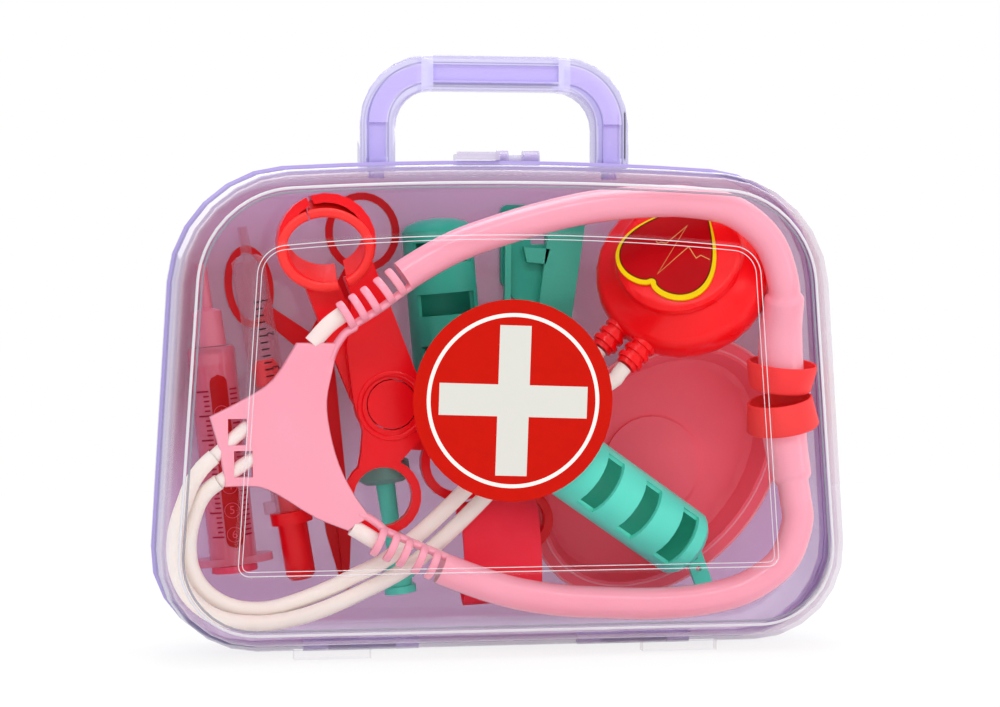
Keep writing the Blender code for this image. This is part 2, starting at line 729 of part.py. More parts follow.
def build_handle():
    """A U grip with rounded shoulders, a sunk channel down each leg and a sunk panel on top."""
    base = SHELL_TOP - CASE_DOME / 8 + CLEARANCE
    half = HANDLE_WIDTH / 2
    top = HANDLE_HEIGHT

    def arch(inset, outer_radius):
        corners = [(-half + inset, top - inset), (half - inset, top - inset)]
        left, right = [], []
        for sign, corner, store in ((-1, corners[0], left), (1, corners[1], right)):
            centre = (corner[0] - sign * outer_radius, corner[1] - outer_radius)
            for step in range(CORNER_STEPS + 1):
                angle = step / CORNER_STEPS * math.pi / 2
                store.append((centre[0] + sign * outer_radius * math.cos(angle),
                              centre[1] + outer_radius * math.sin(angle)))
        return left + right[::-1]

    outer = arch(0, HANDLE_OUTER_RADIUS)
    inner = arch(HANDLE_BAR, HANDLE_INNER_RADIUS)
    loop = [(-half, 0)] + outer + [(half, 0), (half - HANDLE_BAR, 0)] + inner[::-1] \
        + [(-half + HANDLE_BAR, 0)]
    y = HANDLE_Y
    grip = flat_shape("handle", [loop[::-1]], HANDLE_DEPTH, LAVENDER, HANDLE_EDGE, centre_y=y,
                      origin=(0, base))
    margin = (HANDLE_BAR - HANDLE_CHANNEL_WIDTH) / 2
    for name, foot in handle_feet("handle_peg", HANDLE_PEG_RADIUS, base - HANDLE_PEG_LENGTH, base + margin):
        join(grip, foot)
    for face in (-1, 1):
        face_y = y + face * HANDLE_DEPTH / 2
        near, far = sorted((face_y - face * HANDLE_CHANNEL_DEPTH, face_y + face * CUT_OVERRUN))
        for side in (-1, 1):
            low, high = sorted((side * (half - margin), side * (half - margin - HANDLE_CHANNEL_WIDTH)))
            cut(grip, box("handle_channel", (low, near, base + margin),
                          (high, far, base + top - HANDLE_OUTER_RADIUS)))
        panel_z = base + top - HANDLE_BAR / 2
        cut(grip, box("handle_panel", (-HANDLE_PANEL_LENGTH / 2, near, panel_z - HANDLE_PANEL_WIDTH / 2),
                      (HANDLE_PANEL_LENGTH / 2, far, panel_z + HANDLE_PANEL_WIDTH / 2)))
    return smooth(grip)


def build_label():
    """A thin disc in the sunk panel of the front shell."""
    y = -CASE_DEPTH / 2 + PANEL_SINK - CLEARANCE - LABEL_THICKNESS / 2
    disc = flat_shape("round_label", [circle(LABEL_RADIUS, 48)], LABEL_THICKNESS, LABEL, centre_y=y,
                      origin=(0, LABEL_HEIGHT))
    return disc


# Places in the case, as shares of its half width and its height
YOKE_SPOT_SHARES = (-0.6125, 0.447)
CUP_SPOT_SHARES = (0.808, 0.515)
CHEST_SPOT_SHARES = (0.553, 0.772)
WIDE_SYRINGE_SHARES = ((-0.750, 0.160), (-0.815, 0.616))
SLIM_SYRINGE_SHARES = ((-0.588, 0.272), (-0.728, 0.884))
FORCEPS_SPOT_SHARES = (-0.317, 0.501)
SCISSORS_SPOT_SHARES = (-0.500, 0.586)
SCOPE_SPOT_SHARES = ((0.575, 0.186), (-0.162, 0.889))
BLADE_SPOT_SHARES = (0.158, 0.919)
HAMMER_SPOT_SHARES = (-0.321, 0.333)
CUFF_SPOT_SHARES = (0.004, 0.187)
RED_RING_SPOT_SHARES = (0.083, 0.247)
TRAY_SPOT_SHARES = (0.500, 0.356)

# Depths from the front face to the back, each layer resting on the one before or behind it
HEADSET_Y = FRONT_INNER_Y + CLEARANCE + ARM_RADIUS
CUP_Y = FRONT_INNER_Y + CLEARANCE + CUP_RADIUS
TUBE_Y = -0.0108
FORCEPS_Y = TUBE_Y + TUBE_RADIUS + CLEARANCE + FORCEPS_DEPTH / 2
SCISSORS_Y = BACK_INNER_Y - CLEARANCE - SCISSORS_THICKNESS - HALF_GAP
WIDE_SYRINGE_Y = BACK_INNER_Y - CLEARANCE - WIDE_BARREL_RADIUS
SLIM_SYRINGE_Y = SCISSORS_Y - SCISSORS_THICKNESS - HALF_GAP - CLEARANCE - SLIM_BARREL_RADIUS
REAR_SCOPE_Y = BACK_INNER_Y - CLEARANCE - SCOPE_RADIUS
BLADE_Y = BACK_INNER_Y - CLEARANCE - BLADE_THICKNESS / 2
TRAY_BACK_Y = BLADE_Y - BLADE_THICKNESS / 2 - CLEARANCE
FRONT_SCOPE_Y = TRAY_BACK_Y - TRAY_DEPTH - CLEARANCE - SCOPE_RADIUS
HAMMER_Y = FORCEPS_Y + HALF_GAP + HAMMER_HEAD_RADIUS
RED_RING_Y = TRAY_BACK_Y - TRAY_DEPTH - 2 * CLEARANCE - RED_RING_DEPTH / 2
CHEST_Y = 0.0006

# Outlines as shares of the size of the piece they belong to
YOKE_OUTLINE_SHARES = (
    (0.027, 0.500), (0.282, 0.500), (0.245, 0.350), (0.209, 0.183), (0.227, 0.017), (0.282, -0.167),
    (0.373, -0.333), (0.470, -0.455), (0.336, -0.533), (0.136, -0.458), (-0.100, -0.325),
    (-0.227, -0.283), (-0.409, -0.283), (-0.445, -0.083), (-0.500, 0.100), (-0.282, 0.200),
    (-0.118, 0.300))
YOKE_CORNERS = (0, 1, 7, 8, 12, 14)
YOKE_WINDOW_SHARES = ((-0.336, 0.017), (-0.300, -0.158))
LOWER_PRONG_LEAN = math.radians(57.1)
YOKE_PRONG_SHARES = ((0.155, 0.500), (0.403, -0.494))
UPPER_ARM_SHARES = (
    (-0.300, 0.765), (-0.165, 0.822), (0.010, 0.868), (0.160, 0.896),
    (0.310, 0.915), (0.540, 0.918), (0.685, 0.887), (0.775, 0.815), (0.803, 0.735))
LOWER_ARM_SHARES = (
    (-0.265, 0.192), (-0.045, 0.128), (0.110, 0.102), (0.265, 0.092), (0.490, 0.088),
    (0.665, 0.110), (0.785, 0.155), (0.848, 0.228), (0.856, 0.300), (0.832, 0.365))
CHEST_TILT_SHARE = 0.5927
CHEST_TILT = math.asin(CHEST_TILT_SHARE * CASE_DEPTH / 2 / CHEST_RADIUS)
CHEST_LEAN_SHARES = (-0.62, 0.785)
PORT_LEAN_SHARES = (-0.61, -0.79)
HEART_TURN = math.radians(152.4)
FORCEPS_LEAN = math.radians(21.8)
SCISSORS_LEAN = math.radians(6.9)
SCOPE_LEANS = (math.radians(-124.5), math.radians(5))
FRONT_SCOPE_ROOM = FRONT_SCOPE_Y - FRONT_INNER_Y - CLEARANCE
SCOPE_TILTS = (math.atan2(SCOPE_RADIUS, SCOPE_LENGTH)
               - math.asin(FRONT_SCOPE_ROOM / math.hypot(SCOPE_LENGTH, SCOPE_RADIUS)), 0.0)
SCOPE_WINDOW_SHARES = (0.201, 0.501, 0.801)
LUG_LEAN = math.radians(-160)
TRAY_LEAN = math.radians(45)
CUFF_LEAN = math.radians(3)
CUFF_MOUTH = math.radians(35)
CUFF_Y = RED_RING_Y - RED_RING_DEPTH / 2 - CLEARANCE - CUFF_DEPTH / 2 * math.cos(CUFF_MOUTH)


def spin_round(item, lean):
    """Turn a flat piece in its own plane, anticlockwise as seen from the front."""
    item.rotation_euler = (0, -lean, 0)
    return item


def build_yoke():
    """A flat three armed plate with two windows in its foot."""
    place = case_spot(*YOKE_SPOT_SHARES)
    outline = [(x * YOKE_WIDTH, z * YOKE_HEIGHT) for x, z in YOKE_OUTLINE_SHARES]
    loop = closed_curve(outline, 3, YOKE_CORNERS)[::-1]
    plate = flat_shape("headset_yoke", [loop], YOKE_THICKNESS, PINK, YOKE_EDGE, centre_y=HEADSET_Y,
                       origin=place)
    for x_share, z_share in YOKE_WINDOW_SHARES:
        x = place[0] + x_share * YOKE_WIDTH
        z = place[1] + z_share * YOKE_HEIGHT
        cut(plate, box("yoke_window", (x - YOKE_WINDOW_WIDTH / 2, HEADSET_Y - YOKE_THICKNESS,
                                       z - YOKE_WINDOW_HEIGHT / 2),
                       (x + YOKE_WINDOW_WIDTH / 2, HEADSET_Y + YOKE_THICKNESS,
                        z + YOKE_WINDOW_HEIGHT / 2)))
    return smooth(plate)


def yoke_prong(prong_shares):
    """The end of a prong of the yoke."""
    x, z = case_spot(*YOKE_SPOT_SHARES)
    return x + prong_shares[0] * YOKE_WIDTH, z + prong_shares[1] * YOKE_HEIGHT


def sleeve_mouth(shares):
    """Where an arm's sleeve opens, beside its prong of the yoke."""
    if shares is UPPER_ARM_SHARES:
        x, z = yoke_prong(YOKE_PRONG_SHARES[0])
        return x + UPPER_SLEEVE_REACH, z + UPPER_SLEEVE_RISE
    x, z = yoke_prong(YOKE_PRONG_SHARES[1])
    return x + LOWER_SLEEVE_REACH, z - LOWER_SLEEVE_DROP


def arm_route(shares):
    """The arm's middle line: level behind the front face, then back and square on to its cup."""
    points = [(x, HEADSET_Y, z) for x, z in [sleeve_mouth(shares)] + spot_list(shares)]
    x, z = case_spot(*CUP_SPOT_SHARES)
    side = math.copysign(1, points[-1][2] - z)
    end = z + side * (CUP_HEIGHT + 4 * CLEARANCE)
    points += [(x, CUP_Y, end + side * ARM_END_RADIUS), (x, CUP_Y, end)]
    return open_curve(points, ARM_RADIUS * 1.5)


def arm_start(shares):
    """The sleeve's mouth and the direction of the arm there."""
    route = arm_route(shares)
    start = Vector(route[0])
    return start, (Vector(route[2]) - start).normalized()


def build_arm(name, shares):
    """A curved arm that swells at the ear end, with a bored and slotted sleeve at the yoke end."""
    route = arm_route(shares)
    swell = np.ones(len(route))
    swell[-4:] = np.linspace(1, ARM_END_RADIUS / ARM_RADIUS, 4)
    arm = solid_tube(name, route, ARM_RADIUS, PINK, 3, swell)
    start, along = arm_start(shares)
    cut(arm, rod(name + "_bore", start - along * CUT_OVERRUN, start + along * ARM_BORE_DEPTH,
                 TUBE_RADIUS + CLEARANCE))
    up = Vector((-along.z, 0, along.x))
    frame = Matrix((along, up.cross(along), up)).transposed().to_4x4()
    pitch = SLEEVE_SLOT_WIDTH + SLEEVE_RIB_WIDTH
    for index in range(SLEEVE_SLOT_COUNT):
        middle = start + along * (ARM_BORE_DEPTH + (index + 1) * pitch)
        slot = box(name + "_slot", (-SLEEVE_SLOT_WIDTH / 2, -ARM_RADIUS - CUT_OVERRUN,
                                    -SLEEVE_SLOT_WIDTH),
                   (SLEEVE_SLOT_WIDTH / 2, -ARM_RADIUS + SLEEVE_SLOT_DEPTH, ARM_RADIUS + CUT_OVERRUN))
        slot.matrix_world = Matrix.Translation(middle) @ frame
        cut(arm, slot)
    return arm


def build_yoke_tubes():
    """Short soft tubes that plug the two arm sleeves to the prongs of the yoke."""
    for name, shares, prong_shares, lean in (
            ("yoke_tube_upper", UPPER_ARM_SHARES, YOKE_PRONG_SHARES[0], math.radians(90)),
            ("yoke_tube_lower", LOWER_ARM_SHARES, YOKE_PRONG_SHARES[1], -LOWER_PRONG_LEAN)):
        start, along = arm_start(shares)
        out = Vector((math.cos(lean), 0, math.sin(lean)))
        x, z = yoke_prong(prong_shares)
        root = Vector((x, HEADSET_Y, z))
        root += out * CLEARANCE * 3
        end = start + along * (ARM_BORE_DEPTH - CLEARANCE)
        route = open_curve([root, root + out * TUBE_RADIUS, start - along * TUBE_RADIUS / 2, start, end],
                           TUBE_RADIUS)
        tube(name, route, TUBE_RADIUS, CREAM, 2)


def build_ear_cups():
    """Two soft cups, mouth to mouth, each with a hollow and a rolled edge."""
    x, z = case_spot(*CUP_SPOT_SHARES)
    inner = CUP_RADIUS - CUP_WALL
    floor = CUP_HEIGHT - CUP_FLOOR
    profile = [(0, CUP_HEIGHT), (CUP_RADIUS * 0.72, CUP_HEIGHT),
               (CUP_RADIUS * 0.86, CUP_HEIGHT * 0.90), (CUP_RADIUS * 0.92, CUP_HEIGHT * 0.55),
               (CUP_RADIUS, CUP_HEIGHT * 0.25), (CUP_RADIUS, CUP_HEIGHT * 0.06),
               (CUP_RADIUS - CUP_WALL / 2, 0), (inner, CUP_HEIGHT * 0.06),
               (inner * 0.93, floor - CUP_WALL), (inner * 0.80, floor), (0, floor)]
    for name, side in (("ear_cup_upper", 1), ("ear_cup_lower", -1)):
        base = (x, CUP_Y, z + side * CLEARANCE)
        turned(name, profile, RED, placed(base, (0, 0, side)))


def chest_axis():
    """The way the chest piece faces: forward, and tipped up to the left."""
    x, z = CHEST_LEAN_SHARES
    lean = math.sin(CHEST_TILT)
    return Vector((x * lean, -math.cos(CHEST_TILT), z * lean)).normalized()


def chest_centre():
    x, z = case_spot(*CHEST_SPOT_SHARES)
    return Vector((x, CHEST_Y, z))


def port_axis():
    """The ports lie in the plane of the drum and point down to the left."""
    facing = chest_axis()
    aim = Vector((PORT_LEAN_SHARES[0], 0, PORT_LEAN_SHARES[1]))
    return (aim - facing * aim.dot(facing)).normalized()


def port_mouths():
    """Where the two tubes meet the chest piece, the left one first."""
    along = port_axis()
    across = along.cross(chest_axis()).normalized()
    if across.x < 0:
        across = -across
    middle = chest_centre() + along * (CHEST_RADIUS + PORT_LENGTH)
    return [middle + across * side * PORT_SPACING / 2 for side in (-1, 1)]


def build_chest_piece():
    """A thick drum with rounded edges, two ribbed ports, and a separate raised cap in front."""
    facing, centre = chest_axis(), chest_centre()
    half = CHEST_THICKNESS / 2
    upper, lower = [], []
    for step in range(EDGE_STEPS + 1):
        angle = step / EDGE_STEPS * math.pi / 2
        radius = CHEST_RADIUS - CHEST_EDGE * (1 - math.cos(angle))
        height = half - CHEST_EDGE + CHEST_EDGE * math.sin(angle)
        upper.append((radius, height))
        lower.append((radius, -height))
    shoulder = half + CHEST_SHOULDER
    profile = [(0, shoulder), (CHEST_CAP_RADIUS, shoulder), (CHEST_CAP_RADIUS * 1.02, shoulder * 0.9)]
    profile += upper[::-1] + lower + [(0, -half)]
    drum = turned("chest_piece_body", profile, RED, placed(centre, facing, (0, 0, 1)), DRUM_STEPS)
    along = port_axis()
    for mouth in port_mouths():
        rib = PORT_LENGTH / 5
        neck = PORT_RADIUS * 0.8
        port = [(0, PORT_LENGTH), (neck, PORT_LENGTH)]
        for index in range(2, -1, -1):
            low = index * 2 * rib - rib
            port += [(neck, low + rib), (PORT_RADIUS, low + rib), (PORT_RADIUS, low), (neck, low)]
        port += [(neck, -CHEST_EDGE * 2), (0, -CHEST_EDGE * 2)]
        start = mouth - along * PORT_LENGTH
        join(drum, turned("chest_port", port, None, placed(start, along, facing), SMALL_STEPS,
                          collection=CUTTERS))
    cap = [(0, CHEST_CAP_THICKNESS), (CHEST_CAP_RADIUS * 0.9, CHEST_CAP_THICKNESS),
           (CHEST_CAP_RADIUS * 0.98, CHEST_CAP_THICKNESS * 0.6), (CHEST_CAP_RADIUS, 0), (0, 0)]
    front = centre + facing * (shoulder + CLEARANCE)
    turned("chest_piece_cap", cap, RED, placed(front, facing, (0, 0, 1)), DRUM_STEPS)
    return drum


def heart_loop(width, height, steps=36):
    """A heart with a shallow notch, tip down: x is sine cubed of t, z a sum of cosines of t, 2t and 3t."""
    t = np.arange(steps) * 2 * math.pi / steps
    x = np.sin(t) ** 3
    z = 13 * np.cos(t) - 3.74 * np.cos(2 * t) - 1.39 * np.cos(3 * t)
    z -= (z.max() + z.min()) / 2
    return np.column_stack((x * width / 2, z * height / (z.max() - z.min())))


def build_heart():
    """A thin heart on the cap of the chest piece, its tip up to the right."""
    facing = chest_axis()
    badge = flat_shape("heart_badge", [heart_loop(HEART_WIDTH, HEART_HEIGHT)[::-1]], HEART_THICKNESS,
                       LABEL)
    reach = CHEST_THICKNESS / 2 + CHEST_SHOULDER + CHEST_CAP_THICKNESS + HEART_THICKNESS / 2
    reach += 2 * CLEARANCE
    place = placed(chest_centre() + facing * reach, facing, (0, 0, 1))
    upright = Matrix.Rotation(-math.pi / 2, 4, "X")
    shift = Matrix.Translation((HEART_SHIFT_X, 0, -HEART_SHIFT_Z))
    badge.matrix_world = place @ Matrix.Rotation(HEART_TURN, 4, "Z") @ upright @ shift
    return badge


OUTER_TUBE_ROUTE = (
    (-0.0996, -0.0218, 0.0688), (-0.1032, -0.0218, 0.0655), (-0.1069, -0.0217, 0.0602),
    (-0.1092, -0.0215, 0.0542), (-0.1111, -0.0213, 0.0489), (-0.1124, -0.0211, 0.0433),
    (-0.1128, -0.0209, 0.0376), (-0.1122, -0.0206, 0.0319), (-0.1103, -0.0200, 0.0261),
    (-0.1071, -0.0192, 0.0211), (-0.1026, -0.0182, 0.0170), (-0.0969, -0.0170, 0.0140),
    (-0.0898, -0.0158, 0.0124), (-0.0802, -0.0146, 0.0121), (-0.0697, -0.0136, 0.0138),
    (-0.0589, -0.0124, 0.0172), (-0.0479, -0.0112, 0.0219), (-0.0396, -0.0108, 0.0258),
    (-0.0317, -0.0108, 0.0306), (-0.0220, -0.0108, 0.0383), (-0.0082, -0.0108, 0.0514),
    (0.0093, -0.0108, 0.0698), (0.0233, -0.0105, 0.0837))
INNER_TUBE_ROUTE = (
    (-0.0979, -0.0212, 0.0604), (-0.1015, -0.0202, 0.0577), (-0.1041, -0.0188, 0.0539),
    (-0.1060, -0.0176, 0.0488), (-0.1074, -0.0170, 0.0434), (-0.1078, -0.0166, 0.0374),
    (-0.1070, -0.0160, 0.0316), (-0.1047, -0.0152, 0.0264), (-0.1011, -0.0140, 0.0222),
    (-0.0959, -0.0126, 0.0187), (-0.0891, -0.0114, 0.0165), (-0.0799, -0.0104, 0.0163),
    (-0.0693, -0.0096, 0.0191), (-0.0585, -0.0096, 0.0233), (-0.0512, -0.0102, 0.0270),
    (-0.0431, -0.0108, 0.0308), (-0.0355, -0.0108, 0.0360), (-0.0265, -0.0108, 0.0432),
    (-0.0127, -0.0108, 0.0563), (0.0047, -0.0108, 0.0746), (0.0184, -0.0103, 0.0879))


def build_sound_tubes():
    """Two soft tubes from the yoke foot, round to the left and on to the ports of the chest piece."""
    along = port_axis()
    left_mouth, right_mouth = [mouth + along * 2 * CLEARANCE for mouth in port_mouths()]
    for name, route, mouth in (("sound_tube_outer", OUTER_TUBE_ROUTE, right_mouth),
                               ("sound_tube_inner", INNER_TUBE_ROUTE, left_mouth)):
        points = [Vector(point) for point in route]
        points += [mouth + along * TUBE_RADIUS * reach for reach in (2.4, 1.2, 0)]
        tube(name, open_curve(points, TUBE_RADIUS * 1.5), TUBE_RADIUS, CREAM, 2)


def syringe_frame(shares, depth):
    """A placement at the finger flange, with Z up the barrel to the nozzle."""
    low, high = spot_list(shares)
    base = Vector((low[0], depth, low[1]))
    return placed(base, Vector((high[0], depth, high[1])) - base)


def flange(name, radius, thickness, frame, narrow):
    """An oval finger flange with its face on the frame's base, narrower front to back."""
    disc = turned(name, [(0, thickness), (radius, thickness), (radius, 0), (0, 0)], None,
                  frame @ Matrix.Diagonal((1, narrow, 1, 1)), ROUND_STEPS, collection=CUTTERS)
    return disc


def barrel_profile(radius, wall, length, bore):
    """A tube open below, with a floor at the top that the nozzle's bore passes through."""
    inner = radius - wall
    return [(radius, length - wall), (radius, 0), (inner, 0), (inner, length - 2 * wall),
            (bore, length - 2 * wall), (bore, length), (radius - wall / 2, length)]


def moving_frame(frame, height=0.0):
    return frame @ Matrix.Translation((0, 0, height))


def build_wide_syringe():
    """Syringe one: barrel with flange, pink nozzle, plunger with a cross ribbed rod, and a seal."""
    frame = syringe_frame(WIDE_SYRINGE_SHARES, WIDE_SYRINGE_Y)
    inner = WIDE_BARREL_RADIUS - WIDE_BARREL_WALL
    barrel = turned("syringe_wide_barrel",
                    barrel_profile(WIDE_BARREL_RADIUS, WIDE_BARREL_WALL, WIDE_BARREL_LENGTH,
                                   WIDE_NOZZLE_RADIUS), PINK, frame, ROUND_STEPS, True)
    join(barrel, flange("wide_flange", WIDE_FLANGE_RADIUS, WIDE_FLANGE_THICKNESS, frame,
                        (WIDE_BARREL_RADIUS - CLEARANCE) / WIDE_FLANGE_RADIUS))
    cut(barrel, turned("wide_bore", [(0, WIDE_FLANGE_THICKNESS * 2), (inner, WIDE_FLANGE_THICKNESS * 2),
                                     (inner, -CUT_OVERRUN), (0, -CUT_OVERRUN)], None, frame,
                       ROUND_STEPS, collection=CUTTERS))
    half_nozzle = WIDE_NOZZLE_RADIUS / 2
    tip = WIDE_SHOULDER_LENGTH + WIDE_NOZZLE_LENGTH
    shoulder = [(WIDE_NOZZLE_RADIUS * 0.8, tip), (WIDE_NOZZLE_RADIUS, WIDE_SHOULDER_LENGTH * 1.1),
                (WIDE_SHOULDER_RADIUS * 0.9, WIDE_SHOULDER_LENGTH), (WIDE_SHOULDER_RADIUS, 0),
                (half_nozzle, 0), (half_nozzle, tip)]
    turned("syringe_wide_nozzle", shoulder, PINK,
           moving_frame(frame, WIDE_BARREL_LENGTH + CLEARANCE), ROUND_STEPS, True)
    seal_top = WIDE_BARREL_LENGTH - 2 * WIDE_BARREL_WALL - CLEARANCE
    seal_radius = inner - CLEARANCE
    seal = [(0, seal_top), (seal_radius, seal_top), (seal_radius, seal_top - WIDE_SEAL_THICKNESS),
            (0, seal_top - WIDE_SEAL_THICKNESS)]
    turned("syringe_wide_seal", seal, WHITE, frame)
    rod_top = seal_top - WIDE_SEAL_THICKNESS - CLEARANCE
    thumb_top = -CLEARANCE
    thumb_low = thumb_top - WIDE_THUMB_THICKNESS
    disc = WIDE_THUMB_THICKNESS / 2
    plunger = [(0, rod_top), (seal_radius, rod_top), (seal_radius, rod_top - disc),
               (WIDE_ROD_RADIUS, rod_top - disc), (WIDE_ROD_RADIUS, thumb_top),
               (WIDE_THUMB_RADIUS, thumb_top), (WIDE_THUMB_RADIUS, thumb_low), (0, thumb_low)]
    turned("syringe_wide_plunger", plunger, PINK, frame)


def build_slim_syringe():
    """Syringe two: clear barrel with its flange and nozzle, and a red plunger with a soft tip."""
    frame = syringe_frame(SLIM_SYRINGE_SHARES, SLIM_SYRINGE_Y)
    inner = SLIM_BARREL_RADIUS - SLIM_BARREL_WALL
    bore = SLIM_NOZZLE_RADIUS / 2
    top = SLIM_BARREL_LENGTH + SLIM_NOZZLE_LENGTH
    profile = [(SLIM_NOZZLE_RADIUS * 0.8, top), (SLIM_NOZZLE_RADIUS, SLIM_BARREL_LENGTH),
               (SLIM_BARREL_RADIUS * 0.6, SLIM_BARREL_LENGTH),
               (SLIM_BARREL_RADIUS, SLIM_BARREL_LENGTH - SLIM_BARREL_WALL * 2),
               (SLIM_BARREL_RADIUS, 0), (inner, 0), (inner, SLIM_BARREL_LENGTH - SLIM_BARREL_WALL * 3),
               (bore, SLIM_BARREL_LENGTH - SLIM_BARREL_WALL * 2), (bore, top)]
    barrel = turned("syringe_slim_barrel", profile, CLEAR, frame, ROUND_STEPS, True)
    join(barrel, flange("slim_flange", SLIM_FLANGE_RADIUS, SLIM_FLANGE_THICKNESS, frame,
                        (SLIM_BARREL_RADIUS - CLEARANCE) / SLIM_FLANGE_RADIUS))
    cut(barrel, turned("slim_bore", [(0, SLIM_FLANGE_THICKNESS * 2), (inner, SLIM_FLANGE_THICKNESS * 2),
                                     (inner, -CUT_OVERRUN), (0, -CUT_OVERRUN)], None, frame,
                       ROUND_STEPS, collection=CUTTERS))
    rod_radius = inner - CLEARANCE
    rod_top = SLIM_PLUNGER_DEPTH
    disc_top = -CLEARANCE
    disc_low = disc_top - SLIM_DISC_THICKNESS
    knob_low = disc_low - SLIM_KNOB_LENGTH
    plunger = [(0, rod_top), (SLIM_ROD_RADIUS, rod_top), (SLIM_ROD_RADIUS, disc_top),
               (SLIM_DISC_RADIUS, disc_top), (SLIM_DISC_RADIUS, disc_low),
               (SLIM_KNOB_RADIUS, disc_low), (SLIM_KNOB_RADIUS, knob_low + SLIM_KNOB_RADIUS / 3),
               (SLIM_KNOB_RADIUS * 0.7, knob_low), (0, knob_low)]
    turned("syringe_slim_plunger", plunger, RED, frame)
    tip_low = rod_top + CLEARANCE
    tip_top = tip_low + SLIM_TIP_LENGTH
    tip = [(0, tip_top), (rod_radius * 0.7, tip_top), (rod_radius, tip_top - rod_radius / 2),
           (rod_radius, tip_low), (0, tip_low)]
    turned("syringe_slim_tip", tip, RED, frame)


def half_ring(outer, inner, centre, side, top_gap, low_gap, steps=12):
    """Half of a flat ring, left for -1 and right for 1, with gaps at its top and bottom."""
    def arc(radius, first, last):
        angles = np.linspace(first, last, steps)
        return [(centre[0] + side * radius * math.cos(a), centre[1] + radius * math.sin(a))
                for a in angles]
    loop = arc(outer, -math.acos(low_gap / 2 / outer), math.acos(top_gap / 2 / outer))
    loop += arc(inner, -math.acos(low_gap / 2 / inner), math.acos(top_gap / 2 / inner))[::-1]
    return loop if side > 0 else loop[::-1]


FORCEPS_SHANK_SHARES = (
    (-1.00, 0.80), (-1.00, 0.50), (-0.98, 0.10), (-0.80, -0.10), (-0.38, -0.25), (0.55, -0.34),
    (1.60, -0.28), (1.35, -0.20), (1.05, -0.08), (0.98, 0.10), (0.60, 0.40), (-0.08, 0.66),
    (-0.08, 0.78))


def build_forceps():
    """Ring jaws on two crossed halves that turn on a broad round rivet, each with a finger ring."""
    x, z = case_spot(*FORCEPS_SPOT_SHARES)
    leaf = (FORCEPS_DEPTH - CLEARANCE) / 2
    for name, side in (("forceps_left", -1), ("forceps_right", 1)):
        layer = -side * (leaf + CLEARANCE) / 2
        leaf_y = FORCEPS_Y + layer
        half_width = FORCEPS_SHOULDER_WIDTH / 2
        shank = [(-side * u * half_width, v * FORCEPS_LENGTH) for u, v in FORCEPS_SHANK_SHARES]
        if side > 0:
            shank = shank[::-1]
        bore = circle(FORCEPS_RIVET_RADIUS + CLEARANCE, ROUND_STEPS)
        half = flat_shape(name, [shank[::-1]], leaf, RED, centre_y=leaf_y, origin=(x, z))
        boss = flat_shape(name + "_boss", [circle(FORCEPS_BOSS_RADIUS, 28)], leaf - CLEARANCE, None,
                          collection=CUTTERS, centre_y=leaf_y, origin=(x, z))
        ring_centre = (-side * FINGER_RING_SPREAD / 2, -FORCEPS_HANDLE_LENGTH)
        ring = flat_shape(name + "_finger", [circle(FINGER_RING_RADIUS, 24, ring_centre)],
                          leaf - 2 * CLEARANCE, None, collection=CUTTERS, centre_y=leaf_y,
                          origin=(x, z))
        ring_bore = flat_shape(name + "_finger_bore",
                               [circle(FINGER_RING_RADIUS - FINGER_RING_BAR, 24, ring_centre)],
                               leaf * 2, None, collection=CUTTERS, centre_y=leaf_y, origin=(x, z))
        jaw = flat_shape(name + "_jaw",
                         [half_ring(FORCEPS_RING_RADIUS, FORCEPS_RING_BORE, (0, FORCEPS_LENGTH), side,
                                    FORCEPS_RING_GAP, FORCEPS_RING_GAP * 2)],
                         FORCEPS_DEPTH - 2 * CLEARANCE, None, collection=CUTTERS, centre_y=FORCEPS_Y, origin=(x, z))
        hole = flat_shape(name + "_hole", [bore], leaf * 2, None, collection=CUTTERS, centre_y=leaf_y,
                          origin=(x, z))
        for piece in (half, boss, ring, ring_bore, jaw, hole):
            spin_round(piece, FORCEPS_LEAN)
        join(half, boss, ring, jaw)
        cut(half, ring_bore, hole)
        smooth(half)
    rivet = flat_shape("forceps_rivet", [circle(FORCEPS_RIVET_RADIUS, ROUND_STEPS)],
                       FORCEPS_DEPTH - CLEARANCE, RED, CLEARANCE, centre_y=FORCEPS_Y, origin=(x, z))
    smooth(rivet)


SCISSORS_LOOP_SHARES = ((-0.545, 0.870), (0.565, 1.300))
SCISSORS_LOOP_STRETCH_SHARES = ((1.0, 1.0), (1.55, 0.97))


def blade_outline(side):
    """A pointed blade with a waved cutting edge and a shank that leads to one finger loop."""
    x_loop, z_loop = SCISSORS_LOOP_SHARES[0 if side < 0 else 1]
    loop_x, loop_z = x_loop * SCISSORS_LOOP_SPREAD, z_loop * SCISSORS_SHANK_LENGTH
    half = SCISSORS_BLADE_WIDTH / 2
    edge = []
    steps = SCISSORS_WAVE_COUNT * 4
    for step in range(steps + 1):
        share = step / steps
        wave = SCISSORS_WAVE * math.sin(share * SCISSORS_WAVE_COUNT * 2 * math.pi)
        edge.append((side * (half * 0.1 + wave * (1 - share)),
                     -SCISSORS_BLADE_LENGTH * (0.12 + 0.86 * share)))
    back = [(-side * half * 0.2, -SCISSORS_BLADE_LENGTH), (-side * half, -SCISSORS_BLADE_LENGTH * 0.75),
            (-side * half * 1.3, -SCISSORS_BLADE_LENGTH * 0.1), (-side * half * 1.3, half)]
    shank = [(loop_x - side * half * 0.6, loop_z - half), (loop_x + side * half * 0.8, loop_z - half * 1.2),
             (side * half * 1.3, half)]
    outline = edge + back + shank
    return outline


